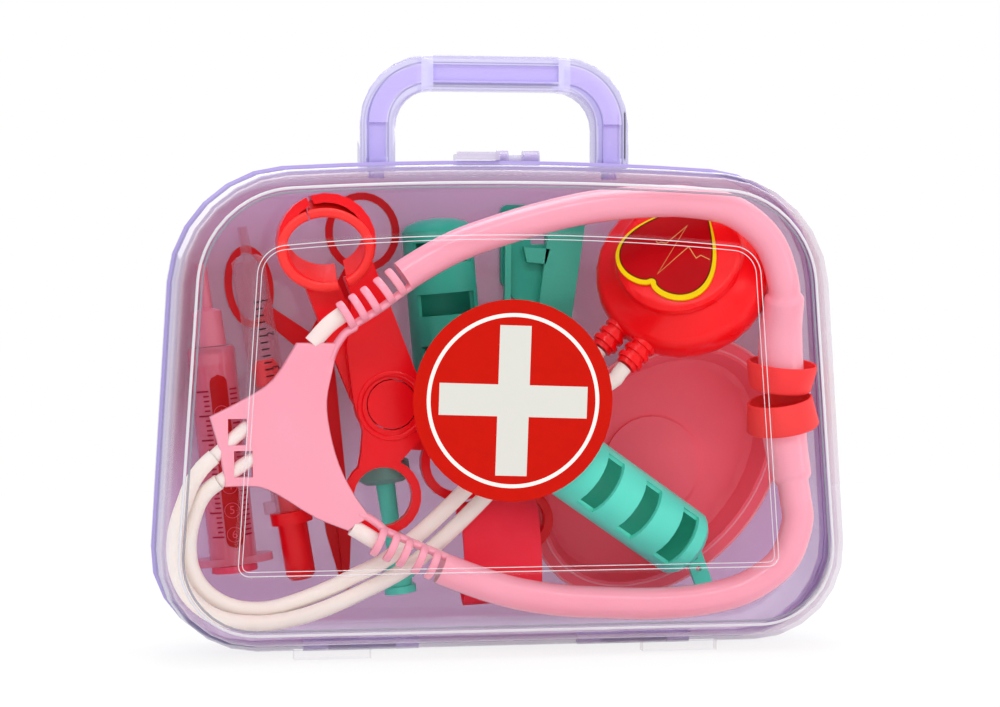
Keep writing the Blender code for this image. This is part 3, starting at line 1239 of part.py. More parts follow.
def build_scissors():
    """Two thin halves, one behind the other, that turn on a rivet."""
    x, z = case_spot(*SCISSORS_SPOT_SHARES)
    for index, (name, side) in enumerate((("scissors_left", -1), ("scissors_right", 1))):
        layer = SCISSORS_Y + side * (SCISSORS_THICKNESS + CLEARANCE) / 2
        loop_x = SCISSORS_LOOP_SHARES[index][0] * SCISSORS_LOOP_SPREAD
        loop_z = SCISSORS_LOOP_SHARES[index][1] * SCISSORS_SHANK_LENGTH
        wide, tall = SCISSORS_LOOP_STRETCH_SHARES[index]
        width, height = SCISSORS_LOOP_WIDTH * wide / 2, SCISSORS_LOOP_HEIGHT * tall / 2
        outline = blade_outline(side)
        half = flat_shape(name, [outline], SCISSORS_THICKNESS, RED, centre_y=layer, origin=(x, z))
        outer = circle(width, 28, (loop_x, loop_z), height / width)
        inner = circle(width - SCISSORS_LOOP_BAR, 28, (loop_x, loop_z),
                       (height - SCISSORS_LOOP_BAR) / (width - SCISSORS_LOOP_BAR))
        loop = flat_shape(name + "_loop", [outer], SCISSORS_THICKNESS - HALF_GAP, None,
                          collection=CUTTERS, centre_y=layer, origin=(x, z))
        window = flat_shape(name + "_window", [inner], SCISSORS_THICKNESS * 2, None,
                            collection=CUTTERS, centre_y=layer, origin=(x, z))
        hole = flat_shape(name + "_hole", [circle(SCISSORS_RIVET_RADIUS / 2 + CLEARANCE, SMALL_STEPS)],
                          SCISSORS_THICKNESS * 2, None, collection=CUTTERS, centre_y=layer,
                          origin=(x, z))
        for piece in (half, loop, window, hole):
            spin_round(piece, SCISSORS_LEAN)
        join(half, loop)
        cut(half, window, hole)
        smooth(half)
    thickness = 2 * SCISSORS_THICKNESS + CLEARANCE
    head = SCISSORS_THICKNESS / 2
    front = SCISSORS_Y - thickness / 2 - CLEARANCE
    profile = [(0, head), (SCISSORS_RIVET_RADIUS * 0.8, head), (SCISSORS_RIVET_RADIUS, 0),
               (SCISSORS_RIVET_RADIUS / 2, 0), (SCISSORS_RIVET_RADIUS / 2, -thickness), (0, -thickness)]
    turned("scissors_rivet", profile, RED, placed((x, front, z), (0, -1, 0), (0, 0, 1)), SMALL_STEPS)


def build_scope(name, shares, lean, tilt, depth):
    """A hollow cylinder, domed at its far end, with windows cut in its front."""
    x, z = case_spot(*shares)
    frame = Matrix.Translation((x, depth, z)) @ Matrix.Rotation(-lean, 4, "Y")
    frame = frame @ Matrix.Rotation(tilt, 4, "X")
    radius, wall = SCOPE_RADIUS, SCOPE_WALL
    dome, hollow = [], []
    for step in range(EDGE_STEPS + 1):
        angle = math.pi / 2 * (1 - step / EDGE_STEPS)
        dome.append((radius * math.cos(angle), -radius / 3 + radius / 3 * math.sin(angle)))
        hollow.append(((radius - wall) * math.cos(angle),
                       -radius / 3 + (radius / 3 - wall) * math.sin(angle)))
    profile = dome + [(radius, -SCOPE_LENGTH), (radius - wall, -SCOPE_LENGTH)] + hollow[::-1]
    body = turned(name, profile, TEAL, frame, 24)
    for share in SCOPE_WINDOW_SHARES:
        middle = -share * SCOPE_LENGTH
        window = box(name + "_window",
                     (-radius * 0.8, -radius - CUT_OVERRUN, middle - SCOPE_WINDOW_LENGTH / 2),
                     (radius * 0.8, -radius + SCOPE_WINDOW_DEPTH, middle + SCOPE_WINDOW_LENGTH / 2))
        window.matrix_world = frame
        cut(body, window)
    return body


def build_lug():
    """A flat tab with two cord holes; its slanted base lies along the domed end of the scope."""
    x, z = case_spot(*SCOPE_SPOT_SHARES[0])
    slant = math.tan(LUG_LEAN - SCOPE_LEANS[0]) * LUG_WIDTH / 2
    base = 2 * CLEARANCE
    loop = rounded_polygon([(-LUG_WIDTH / 2, base + slant), (LUG_WIDTH / 2, base - slant),
                            (LUG_WIDTH / 2, LUG_LENGTH), (-LUG_WIDTH / 2, LUG_LENGTH)],
                           (CLEARANCE, CLEARANCE, LUG_WIDTH / 3, LUG_WIDTH / 3), (1, 1, 1, 1), 3)
    holes = [circle(LUG_HOLE_RADIUS, 12, (0, LUG_HOLE_SETBACK + index * LUG_HOLE_PITCH))
             for index in range(2)]
    lug = flat_shape("scope_lug", [loop, *holes], LUG_THICKNESS, TEAL, centre_y=FRONT_SCOPE_Y,
                     origin=(x, z))
    return spin_round(lug, LUG_LEAN)


def build_blade():
    """The flat teal instrument: a forked head with a cross piece and a long round ended stem."""
    x, z = case_spot(*BLADE_SPOT_SHARES)
    head, stem = BLADE_WIDTH / 2, BLADE_STEM_WIDTH / 2
    low = -BLADE_HEAD_LENGTH
    bottom = low - BLADE_STEM_LENGTH
    corners = [(-stem, bottom), (stem, bottom), (stem, low), (head, low + stem), (head, 0),
               (-head, 0), (-head, low + stem), (-stem, low)]
    radii = (stem * 0.98, stem * 0.98, stem / 2, stem / 3, stem / 3, stem / 3, stem / 3, stem / 2)
    loop = rounded_polygon(corners, radii, (1,) * len(corners), 5)
    slot = rounded_polygon([(-BLADE_SLOT_WIDTH / 2, -BLADE_SLOT_LENGTH),
                            (BLADE_SLOT_WIDTH / 2, -BLADE_SLOT_LENGTH),
                            (BLADE_SLOT_WIDTH / 2, -BLADE_SLOT_WIDTH / 2),
                            (-BLADE_SLOT_WIDTH / 2, -BLADE_SLOT_WIDTH / 2)],
                           (CLEARANCE,) * 4, (1,) * 4, 2)
    blade = flat_shape("teal_blade", [loop, slot], BLADE_THICKNESS, TEAL, centre_y=BLADE_Y,
                       origin=(x, z))
    return smooth(blade)


def build_hammer():
    """A round headed reflex hammer: a cupped head, and a stem with a ribbed grip."""
    x, z = case_spot(*HAMMER_SPOT_SHARES)
    radius, length = HAMMER_HEAD_RADIUS, HAMMER_HEAD_LENGTH
    head = [(0, length), (radius * 0.75, length), (radius, length * 0.8), (radius, length * 0.2),
            (radius * 0.75, 0), (0, 0)]
    frame = Matrix.Translation((x, HAMMER_Y, z)) @ Matrix.Rotation(math.radians(-8), 4, "Y")
    turned("hammer_head", head, TEAL, frame)
    top = -CLEARANCE
    low = top - HAMMER_STEM_LENGTH
    bottom = low - HAMMER_GRIP_LENGTH
    rib = HAMMER_GRIP_LENGTH / 5
    stem = [(0, top), (HAMMER_STEM_RADIUS, top), (HAMMER_STEM_RADIUS * 0.8, low)]
    for index in range(3):
        stem += [(HAMMER_GRIP_RADIUS, low - index * 2 * rib), (HAMMER_GRIP_RADIUS, low - index * 2 * rib - rib)]
        if index < 2:
            stem += [(HAMMER_GRIP_RADIUS * 0.8, low - index * 2 * rib - rib),
                     (HAMMER_GRIP_RADIUS * 0.8, low - (index + 1) * 2 * rib)]
    stem.append((0, bottom))
    turned("hammer_stem", stem, TEAL, frame)


def build_cuff():
    """A springy band, open at the back, lying on its side."""
    x, z = case_spot(*CUFF_SPOT_SHARES)

    def arc(depth, height):
        angles = np.linspace(CUFF_MOUTH, 2 * math.pi - CUFF_MOUTH, 22)
        return [(depth * math.cos(a), height * math.sin(a)) for a in angles]
    outer = arc(CUFF_DEPTH / 2, CUFF_HEIGHT / 2)
    inner = arc(CUFF_DEPTH / 2 - CUFF_THICKNESS, CUFF_HEIGHT / 2 - CUFF_THICKNESS)
    band = flat_shape("cuff_band", [outer + inner[::-1]], CUFF_WIDTH, CUFF)
    band.matrix_world = Matrix.Translation((x, CUFF_Y, z)) @ Matrix.Rotation(-CUFF_LEAN, 4, "Y") \
        @ Matrix.Rotation(math.pi / 2, 4, "Z")
    return smooth(band)


def build_red_ring():
    """A plain flat ring on edge behind the cuff."""
    x, z = case_spot(*RED_RING_SPOT_SHARES)
    loops = [circle(RED_RING_RADIUS, 28), circle(RED_RING_RADIUS - RED_RING_BAR, 28)]
    ring = flat_shape("red_ring", loops, RED_RING_DEPTH, RED, CLEARANCE, centre_y=RED_RING_Y,
                      origin=(x, z))
    return smooth(ring)


def build_tray():
    """An oval dish on its back: a flat rim, sloped walls and a raised disc on its floor."""
    x, z = case_spot(*TRAY_SPOT_SHARES)
    t = np.arange(TRAY_STEPS) * 2 * math.pi / TRAY_STEPS
    long_way = TRAY_HEIGHT / 2 * np.cos(t)
    short_way = TRAY_WIDTH / 2 * np.sin(t)
    cosine, sine = math.cos(TRAY_LEAN), math.sin(TRAY_LEAN)
    loop = np.column_stack((x + cosine * long_way + sine * short_way,
                            z + sine * long_way - cosine * short_way))[::-1]
    front = TRAY_BACK_Y - TRAY_DEPTH
    rows = [(loop, front + TRAY_WALL), (offset_loop(loop, -TRAY_RIM), front + TRAY_WALL),
            (offset_loop(loop, -TRAY_RIM - TRAY_DRAFT / 2), TRAY_BACK_Y - TRAY_WALL),
            (offset_loop(loop, -TRAY_RIM - TRAY_DRAFT), TRAY_BACK_Y)]
    rings = [[(px, depth, pz) for px, pz in ring] for ring, depth in rows]
    tray = loft("oval_tray", rings, TRAY)
    thicken(tray, TRAY_WALL)
    centre = np.mean(loop, axis=0)
    emboss = flat_shape("tray_emboss", [circle(TRAY_EMBOSS_RADIUS, 28)],
                        TRAY_WALL + TRAY_EMBOSS_HEIGHT, None, collection=CUTTERS,
                        centre_y=TRAY_BACK_Y - TRAY_WALL - TRAY_EMBOSS_HEIGHT / 2,
                        origin=(centre[0], centre[1]))
    join(tray, emboss)
    return smooth(tray)


def build_all():
    build_back_shell()
    build_front_shell()
    build_handle()
    build_latch()
    build_label()
    build_yoke()
    build_arm("headset_arm_upper", UPPER_ARM_SHARES)
    build_arm("headset_arm_lower", LOWER_ARM_SHARES)
    build_yoke_tubes()
    build_ear_cups()
    build_chest_piece()
    build_heart()
    build_sound_tubes()
    build_wide_syringe()
    build_slim_syringe()
    build_forceps()
    build_scissors()
    depths = (FRONT_SCOPE_Y, REAR_SCOPE_Y)
    for name, spot, lean, tilt, depth in zip(("scope_front", "scope_rear"), SCOPE_SPOT_SHARES,
                                             SCOPE_LEANS, SCOPE_TILTS, depths):
        build_scope(name, spot, lean, tilt, depth)
    build_lug()
    build_blade()
    build_hammer()
    build_cuff()
    build_red_ring()
    build_tray()


build_all()
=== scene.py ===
"""Toy doctor case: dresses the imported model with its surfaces, prints, soft tubes and finishes.

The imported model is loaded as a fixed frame. Solids whose shape is right are merged, smoothed and
given a finish. Prints, scales, tubes and rounded pieces are worked out with numpy. Lengths are metres.
"""
import json
import math

import bpy
import numpy as np
from bpy.props import FloatProperty, FloatVectorProperty, PointerProperty
from mathutils import Matrix, Vector


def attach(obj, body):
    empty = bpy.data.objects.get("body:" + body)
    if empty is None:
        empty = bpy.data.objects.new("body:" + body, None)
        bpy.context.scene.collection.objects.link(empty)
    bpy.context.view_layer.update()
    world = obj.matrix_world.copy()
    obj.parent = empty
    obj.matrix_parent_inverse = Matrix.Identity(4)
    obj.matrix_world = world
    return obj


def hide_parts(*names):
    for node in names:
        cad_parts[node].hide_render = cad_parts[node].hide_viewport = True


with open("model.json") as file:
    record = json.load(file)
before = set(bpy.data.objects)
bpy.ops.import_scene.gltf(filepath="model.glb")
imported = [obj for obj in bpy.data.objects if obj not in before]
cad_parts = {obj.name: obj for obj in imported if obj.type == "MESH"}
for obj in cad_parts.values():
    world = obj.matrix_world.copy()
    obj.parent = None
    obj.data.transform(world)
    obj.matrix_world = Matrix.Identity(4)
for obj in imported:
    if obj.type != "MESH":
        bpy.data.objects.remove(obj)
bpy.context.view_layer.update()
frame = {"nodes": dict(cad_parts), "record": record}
NODE_BODY = {node: body for body, nodes in frame["record"]["behaviour"]["bodies"].items() for node in nodes}

bl_info = {
    "name": "Toy doctor case dressing",
    "version": (1, 0, 0),
    "blender": (4, 5, 0),
    "location": "View3D > Sidebar > Doctor case",
    "description": "Surfaces, prints and finishes for a clear toy doctor case and what is packed in it",
    "category": "Object",
}

# Angles past which an edge between two faces stays sharp
CASE_SHARP, TOOL_SHARP, EDGE_SHARP = (math.radians(angle) for angle in (35, 40, 50))

# Camera
VIEW_AZIMUTH = math.radians(10)
VIEW_ELEVATION = math.radians(2.5)
VIEW_DISTANCE = 0.9
VIEW_AIM = Vector((0, 0, 0.09))
VIEW_LENS = 93.5
VIEW_SHIFT = (0.002, 0.0345)

# Stage: half the floor's width, and the lamps with their place, size and power
FLOOR_HALF = 0.65
LAMPS = (
    ("key", (-0.55, -0.85, 0.95), (0.7, 0.7), 1.6),
    ("strip", (0.05, -0.75, 0.80), (1.1, 0.07), 1.8),
    ("fill", (0.95, -0.60, 0.45), (0.6, 0.9), 2.0),
    ("top", (0.05, 0.05, 1.15), (0.9, 0.5), 5.0),
    ("back", (0.1, 0.95, 0.55), (1.0, 0.7), 2.5))

# Sound tubes: radius, how finely a route is drawn, then each route's points from the yoke to the port
TUBE_RADIUS = 0.0027
ROUTE_STEPS = 24
ROUTE_SPACING = 0.001
OUTER_TUBE = (
    (-0.0996, -0.0218, 0.0688), (-0.1032, -0.0218, 0.0655), (-0.1069, -0.0217, 0.0602),
    (-0.1092, -0.0215, 0.0542), (-0.1111, -0.0213, 0.0489), (-0.1124, -0.0211, 0.0433),
    (-0.1128, -0.0209, 0.0376), (-0.1122, -0.0206, 0.0319), (-0.1103, -0.0200, 0.0261),
    (-0.1071, -0.0192, 0.0211), (-0.1026, -0.0182, 0.0170), (-0.0969, -0.0170, 0.0140),
    (-0.0898, -0.0158, 0.0124), (-0.0802, -0.0146, 0.0121), (-0.0697, -0.0136, 0.0138),
    (-0.0589, -0.0124, 0.0172), (-0.0479, -0.0112, 0.0219), (-0.0396, -0.0108, 0.0258),
    (-0.0317, -0.0108, 0.0306), (-0.0220, -0.0108, 0.0383), (-0.0082, -0.0108, 0.0514),
    (0.0093, -0.0108, 0.0698), (0.0233, -0.0105, 0.0837),
    (0.03896, -0.00798, 0.09249), (0.04112, -0.00760, 0.09488), (0.04328, -0.00723, 0.09726))
OUTER_TUBE_LENGTH = 0.2365
INNER_TUBE = (
    (-0.0979, -0.0212, 0.0604), (-0.1015, -0.0202, 0.0577), (-0.1041, -0.0188, 0.0539),
    (-0.1060, -0.0176, 0.0488), (-0.1074, -0.0170, 0.0434), (-0.1078, -0.0166, 0.0374),
    (-0.1070, -0.0160, 0.0316), (-0.1047, -0.0152, 0.0264), (-0.1011, -0.0140, 0.0222),
    (-0.0959, -0.0126, 0.0187), (-0.0891, -0.0114, 0.0165), (-0.0799, -0.0104, 0.0163),
    (-0.0693, -0.0096, 0.0191), (-0.0585, -0.0096, 0.0233), (-0.0512, -0.0102, 0.0270),
    (-0.0431, -0.0108, 0.0308), (-0.0355, -0.0108, 0.0360), (-0.0265, -0.0108, 0.0432),
    (-0.0127, -0.0108, 0.0563), (0.0047, -0.0108, 0.0746), (0.0184, -0.0103, 0.0879),
    (0.03149, -0.00157, 0.09826), (0.03365, -0.00119, 0.10065), (0.03581, -0.00082, 0.10303))
INNER_TUBE_LENGTH = 0.2165

# Headset: the middle lines of the arms from the sleeve's mouth to the ear cup, and what carries the sleeve
ARM_RADIUS = 0.0055
ARM_END_RADIUS = 0.0080
UPPER_COLLAR = 0.0263
LOWER_COLLAR = 0.0190
UPPER_ARM = (
    (-0.0568, -0.0218, 0.1148), (-0.0464, -0.0218, 0.1212), (-0.0333, -0.0218, 0.1304),
    (-0.0189, -0.0218, 0.1384), (-0.0034, -0.0218, 0.1441), (0.0125, -0.0218, 0.1487),
    (0.0287, -0.0218, 0.1522), (0.0451, -0.0218, 0.1539), (0.0616, -0.0218, 0.1541),
    (0.0778, -0.0218, 0.1509), (0.0905, -0.0218, 0.1407), (0.0961, -0.0216, 0.1254),
    (0.0969, -0.0160, 0.1120), (0.0972, -0.0142, 0.1030), (0.0973, -0.0141, 0.0962))
LOWER_ARM = (
    (-0.0462, -0.0218, 0.0405), (-0.0310, -0.0218, 0.0336), (-0.0156, -0.0218, 0.0271),
    (0.0002, -0.0218, 0.0217), (0.0166, -0.0218, 0.0186), (0.0333, -0.0218, 0.0173),
    (0.0500, -0.0218, 0.0166), (0.0667, -0.0218, 0.0175), (0.0829, -0.0218, 0.0214),
    (0.0959, -0.0218, 0.0302), (0.1013, -0.0214, 0.0430), (0.1012, -0.0196, 0.0520),
    (0.1002, -0.0172, 0.0610), (0.0988, -0.0152, 0.0712), (0.0984, -0.0145, 0.0775))
UPPER_STRUT = ((-0.0524, -0.0218, 0.1117), (-0.0558, -0.0218, 0.1096), (-0.0589, -0.0218, 0.1052),
               (-0.0606, -0.0218, 0.1010))
LOWER_STRUT = ((-0.0444, -0.0218, 0.0452), (-0.0479, -0.0218, 0.0477), (-0.0513, -0.0218, 0.0492))
SLEEVE_LENGTH = 0.0246
RIB_COUNT = 5
RIB_WIDTH = 0.0027
RIB_THICKNESS = 0.0017
UPPER_PLUG = ((-0.0669, -0.0218, 0.1063), (-0.0613, -0.0218, 0.1124), (-0.0557, -0.0218, 0.1166))
LOWER_PLUG = ((-0.0535, -0.0218, 0.0446), (-0.0500, -0.0218, 0.0425), (-0.0455, -0.0218, 0.0397))
COLLAR_STEP = 0.0014
COLLAR_SLOPE = 0.0018
RAIL_HALF = (0.0014, 0.0028)
PLUG_RADIUS = 0.00285
CUP_WALL = 0.0011
SOCKET_RADIUS = 0.0023
EAR_CUPS = {
    "ear_cup_upper": {"centre": (0.09744, -0.0140, 0.09400), "low": 0.0109, "high": 0.0124, "height": 0.0098,
                      "floor": 0.0042, "tilt": 9.5, "roll": 3.0},
    "ear_cup_lower": {"centre": (0.09762, -0.0140, 0.08081), "low": 0.0128, "high": 0.0114, "height": 0.0108,
                      "floor": 0.0040, "tilt": 9.5, "roll": -10.0}}
SOCKET_ENDS = (((-0.0996, -0.0218, 0.0688), (-0.0965, -0.0218, 0.0716), (-0.0925, -0.0218, 0.0754),
                (-0.0880, -0.0218, 0.0792)),
               ((-0.0979, -0.0212, 0.0604), (-0.0945, -0.0217, 0.0627), (-0.0900, -0.0218, 0.0660),
                (-0.0850, -0.0218, 0.0690)))

# Outlines of the case and of the sunk panel in its front, how finely they are drawn, and the handle's line
CASE = {"bottom": 0.2420, "top": 0.2210, "base": 0.0022, "height": 0.1602, "dome": 0.0050,
        "radii": (0.0330, 0.0330, 0.0380, 0.0380)}
PANEL = {"bottom": 0.1850, "top": 0.1700, "base": 0.0295, "height": 0.1085, "dome": 0.0045,
         "radii": (0.0035, 0.0035, 0.0090, 0.0090)}
ARC_POINTS = 13
OUTLINE_POINTS = 420
FACE_Y = -0.0300
FACE_INSET = 0.0084
EARS_FROM = 0.1685
HANDLE_HALF = 0.04115
HANDLE_TURN = 0.0175
HANDLE_LINE_TOP = 0.1988

# Zones of the clear pieces, as bands with soft sides: what is measured, from, to, and the sides' width
BELOW_EARS = ("Z", -1.0, EARS_FROM, 0.0001)
ZONES = {
    "lip": (("Y", -0.0034, 0.0034, 0.0004), BELOW_EARS),
    "joint": (("Y", -0.0012, 0.0012, 0.0006), BELOW_EARS),
    # The two back zones paint light into the back half: a mauve-pink painted reflection of the red toys over
    # the back wall, and a dark rose band of painted shade across its middle.
    "back_wall_painted_reflection": (("Y", 0.0270, 0.0500, 0.0016),),
    "back_middle_painted_shade": (("Z", 0.088, 0.130, 0.036), ("Y", 0.0270, 0.0290, 0.0004)),
    "grip_core": (("grip", -1.0, 0.0028, 0.0003),),
    "grip_line": (("grip", 0.0034, 0.0037, 0.0002),),
    "grip_edge": (("grip", 0.0058, 0.0200, 0.0003),),
    "grip_blocks": (("side", 0.0222, 0.0260, 0.0003), ("Z", 0.180, 0.300, 0.001)),
    "grip_shade": (("side", -1.0, 0.0215, 0.0010),
                   ("Z", HANDLE_LINE_TOP - 0.0041, HANDLE_LINE_TOP - 0.0038, 0.0002)),
    "grip_ink": (("X", HANDLE_HALF + 0.0042, HANDLE_HALF + 0.0047, 0.0002), ("Z", 0.1700, 0.1855, 0.0015)),
}

# Ring jaws of the forceps: the front rim's and the rear edge's centre and half axes, and where each half runs
JAW_FRONT = {"centre": (-0.0606, 0.1376), "axes": (0.0154, 0.0131), "y": -0.0078}
JAW_REAR = {"centre": (-0.0602, 0.1436), "axes": (0.0140, 0.0118), "y": 0.0020}
JAW_RIM = 0.0016
JAW_WALL = 0.0009
JAW_HALVES = (("jaw_rim_right", "forceps_right", -60, 113), ("jaw_rim_left", "forceps_left", 115, 286))
BOSS_CENTRE = (-0.0382, 0.0845)
BOSS_RADIUS = 0.0110
BOSS_Y = -0.0079

# Upright walls on the long blade, as corners in X and Z, and how far they stand from front to back
BLADE_WALLS = (
    ((0.02274, 0.15041), (0.03581, 0.15046), (0.03004, 0.11096), (0.01771, 0.11100)),
    ((0.00651, 0.15140), (0.00866, 0.15141), (0.00831, 0.11103), (0.00620, 0.11104)),
    ((0.01317, 0.13904), (0.02257, 0.13835), (0.02113, 0.13302), (0.01426, 0.13373)))
BLADE_WALL_FRONT = 0.0216
BLADE_WALL_BACK = 0.0252

# Painted highlights on the tray, as pale lines round its rim: the middle, lean and front of its rim, then
# each line's half axes and radius
TRAY_MIDDLE = (0.0600, 0.0610)
TRAY_LEAN = math.radians(45)
TRAY_FRONT = 0.0129
TRAY_HIGHLIGHTS = (((0.0526, 0.0386), 0.00045), ((0.0487, 0.0347), 0.00035))

# Places that the prints follow
LABEL_CENTRE = (0.0, -0.0295, 0.0870)
LABEL_TURN = math.radians(2)
HEART_FRAME = Matrix(((-0.729841, 0.355583, -0.58386, 0.059803), (0.544239, 0.819065, -0.181485, -0.011843),
                      (0.413686, -0.450215, -0.791309, 0.137679), (0, 0, 0, 1)))
HEART_SIZE = (0.0362, 0.0385, 0.0008)
HEART_LIFT = (0.0004, 0.0, -0.0022)
PULSE_LINE = ((0.0071, 0.0022), (0.0061, 0.0028), (0.0053, 0.0019), (0.0034, 0.0014),
              (0.0006, -0.0077), (-0.0002, 0.0129), (-0.0042, -0.0011), (-0.0074, 0.0007),
              (-0.0089, 0.0015), (-0.0097, -0.0002), (-0.0134, -0.0002))
PULSE_WIDTH = 0.0003
INK_GRAIN = (900.0, 40.0)
WIDE_FRAME = Matrix(((0.994682, 0, -0.102992, -0.09), (0, 1, 0, 0.0199), (0.102992, 0, 0.994682, 0.028632),
                     (0, 0, 0, 1)))
SLIM_FRAME = Matrix(((0.986474, 0, -0.163921, -0.07056), (0, 1, 0, 0.0181), (0.163921, 0, 0.986474, 0.047134),
                     (0, 0, 0, 1)))

# Scales on the barrels: radius of the print, height of the first tick, and the step to the next
WIDE_SKIN, WIDE_TOP, WIDE_TICK = 0.00827, 0.0610, 0.00169
SLIM_SKIN, SLIM_TOP, SLIM_TICK = 0.00586, 0.0735, 0.00235


def linear(code):
    """A web colour as linear light, by the usual sRGB curve."""
    values = [int(code[i:i + 2], 16) / 255 for i in (1, 3, 5)]
    return tuple(v / 12.92 if v <= 0.04045 else ((v + 0.055) / 1.055) ** 2.4 for v in values)


def rgba(colour):
    """A colour code, or a colour in linear light, as linear light with full cover."""
    return (*(linear(colour) if isinstance(colour, str) else colour), 1.0)


# Lines and outlines

def unit(rows):
    """Rows of vectors, each made one long."""
    return rows / np.linalg.norm(rows, axis=1)[:, None]


def run_along(line):
    """How far along a line each of its points lies."""
    return np.concatenate(([0], np.cumsum(np.linalg.norm(np.diff(line, axis=0), axis=1))))


def upright(flat, depth):
    """Points given in X and Z, set in an upright plane at a depth."""
    return np.column_stack((flat[:, 0], np.full(len(flat), depth), flat[:, 1]))


def full_turn(count):
    """Even angles round a circle, the last short of the first."""
    return np.linspace(0, 2 * math.pi, count, endpoint=False)


def oval(centre, axes, depth, turn, lean=0.0):
    """Points of an ellipse in an upright plane, at the given turns, its first axis leaned up from X."""
    along, over = axes[0] * np.cos(turn), axes[1] * np.sin(turn)
    return upright(np.column_stack((centre[0] + math.cos(lean) * along - math.sin(lean) * over,
                                    centre[1] + math.sin(lean) * along + math.cos(lean) * over)), depth)


def on_barrel(radius, turn, level):
    """Points on a barrel's skin, by their angle from the front and their height."""
    return np.stack((radius * np.sin(turn), -radius * np.cos(turn), np.broadcast_to(level, turn.shape)), -1)


def smooth_route(points, spacing):
    """A smooth line through the points by cubic pieces, read off at an even spacing."""
    points = np.array(points)
    padded = np.vstack((2 * points[0] - points[1], points, 2 * points[-1] - points[-2]))
    t = np.linspace(0, 1, ROUTE_STEPS, endpoint=False)[None, :, None]
    a, b, c, d = (padded[i:len(padded) - 3 + i, None, :] for i in range(4))
    square, cube = 2 * a - 5 * b + 4 * c - d, 3 * b - a - 3 * c + d
    fine = 0.5 * (2 * b + (c - a) * t + square * t ** 2 + cube * t ** 3)
    fine = np.vstack((fine.reshape(-1, 3), points[-1:]))
    run = run_along(fine)
    marks = np.linspace(0, run[-1], max(int(round(run[-1] / spacing)), 2) + 1)
    return np.column_stack([np.interp(marks, run, fine[:, axis]) for axis in range(3)])


def outline_loop(shape, inset):
    """A trapezoid with an arc at each corner, drawn in by an inset, with its top bowed up."""
    base, top = shape["base"] + inset, shape["base"] + shape["height"] - inset
    low, high = shape["bottom"] / 2 - inset, shape["top"] / 2 - inset
    corners = np.array(((-low, base), (low, base), (high, top), (-high, top)))
    before, after = (unit(np.roll(corners, step, 0) - corners) for step in (1, -1))
    half = np.arccos((before * after).sum(1)) / 2
    radii = np.array(shape["radii"]) - inset
    middle = before + after
    middle *= (radii / np.sin(half) / np.linalg.norm(middle, axis=1))[:, None]
    reach = (radii / np.tan(half))[:, None]
    share = np.linspace(0, 1, ARC_POINTS)[None, :, None]
    first, last = (corners + reach * before)[:, None], (corners + reach * after)[:, None]
    centre = (corners + middle)[:, None]
    arc = first + (last - first) * share - centre
    arc = centre + arc / np.linalg.norm(arc, axis=-1, keepdims=True) * radii[:, None, None]
    loop = np.vstack((arc.reshape(-1, 2), arc[0, :1]))
    run = run_along(loop)
    marks = np.linspace(0, run[-1], OUTLINE_POINTS, endpoint=False)
    x, z = (np.interp(marks, run, loop[:, axis]) for axis in (0, 1))
    rise = (z - base) / (top - base)
    return np.column_stack((x, z + shape["dome"] * rise * np.maximum(1 - (2 * x / shape["top"]) ** 2, 0)))


# Pieces

def new_piece(name, mesh, material, body, nodes=()):
    """Link a finished mesh as a piece, with its finish, the body it rides on and the nodes it stands for."""
    piece = bpy.data.objects.new(name, mesh)
    bpy.context.scene.collection.objects.link(piece)
    mesh.materials.clear()
    mesh.materials.append(material)
    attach(piece, body)
    if nodes:
        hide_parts(*nodes)
    return piece


def stand_in(node, mesh, material):
    """A finished mesh in the place of a CAD node."""
    return new_piece(node + "_skin", mesh, material, NODE_BODY[node], (node,))


def add_on(name, mesh, material, node):
    """A finished mesh that rides with a CAD node."""
    new_piece(name, mesh, material, NODE_BODY[node])


def print_on(name, mesh, ink):
    """A print on one of the syringes."""
    new_piece(name, mesh, ink, "case")


def joined_mesh(name, grids, place=None):
    """One mesh over several grids of points, given as (grid, close rows, close columns)."""
    points, faces, start = [], [], 0
    for grid, close_u, close_v in grids:
        rows, columns = grid.shape[:2]
        index = np.arange(rows * columns).reshape(rows, columns) + start
        if close_u:
            index = np.vstack((index, index[:1]))
        if close_v:
            index = np.hstack((index, index[:, :1]))
        corners = (index[:-1, :-1], index[:-1, 1:], index[1:, 1:], index[1:, :-1])
        faces.append(np.stack(corners, axis=-1).reshape(-1, 4))
        points.append(grid.reshape(-1, 3))
        start += rows * columns
    points = np.vstack(points)
    if place is not None:
        turn = np.array(place)
        points = points @ turn[:3, :3].T + turn[:3, 3]
    mesh = bpy.data.meshes.new(name)
    mesh.from_pydata(points.tolist(), [], np.vstack(faces).tolist())
    mesh.validate()
    mesh.shade_smooth()
    return mesh


def quad_mesh(name, grid, close_u=False, close_v=False, place=None):
    """A mesh over a grid of points, rows by columns; closing joins the last row or column to the first."""
    return joined_mesh(name, [(grid, close_u, close_v)], place)


def swept(route, across, deep, sides=24, closed=False):
    """Rings of an ellipse square to a line that runs near an upright plane facing the front.

    across is the half width in that plane and deep the half width from front to back, each a number or one
    for every point. An open sweep is shut by drawing its first and last rings in to a point.
    """
    route = np.asarray(route, float)
    across, deep = (np.broadcast_to(value, len(route)).astype(float) for value in (across, deep))
    if closed:
        along = np.roll(route, -1, 0) - np.roll(route, 1, 0)
    else:
        along = np.gradient(route, axis=0)
        route = np.vstack((route[:1], route, route[-1:]))
        along = np.vstack((along[:1], along, along[-1:]))
        across, deep = (np.concatenate(([0], value, [0])) for value in (across, deep))
    along = unit(along)
    side = unit(np.cross(along, (0, 1, 0)))
    rear = np.cross(side, along)
    turn = full_turn(sides)
    return (route[:, None] + (across[:, None] * np.cos(turn))[..., None] * side[:, None]
            + (deep[:, None] * np.sin(turn))[..., None] * rear[:, None])


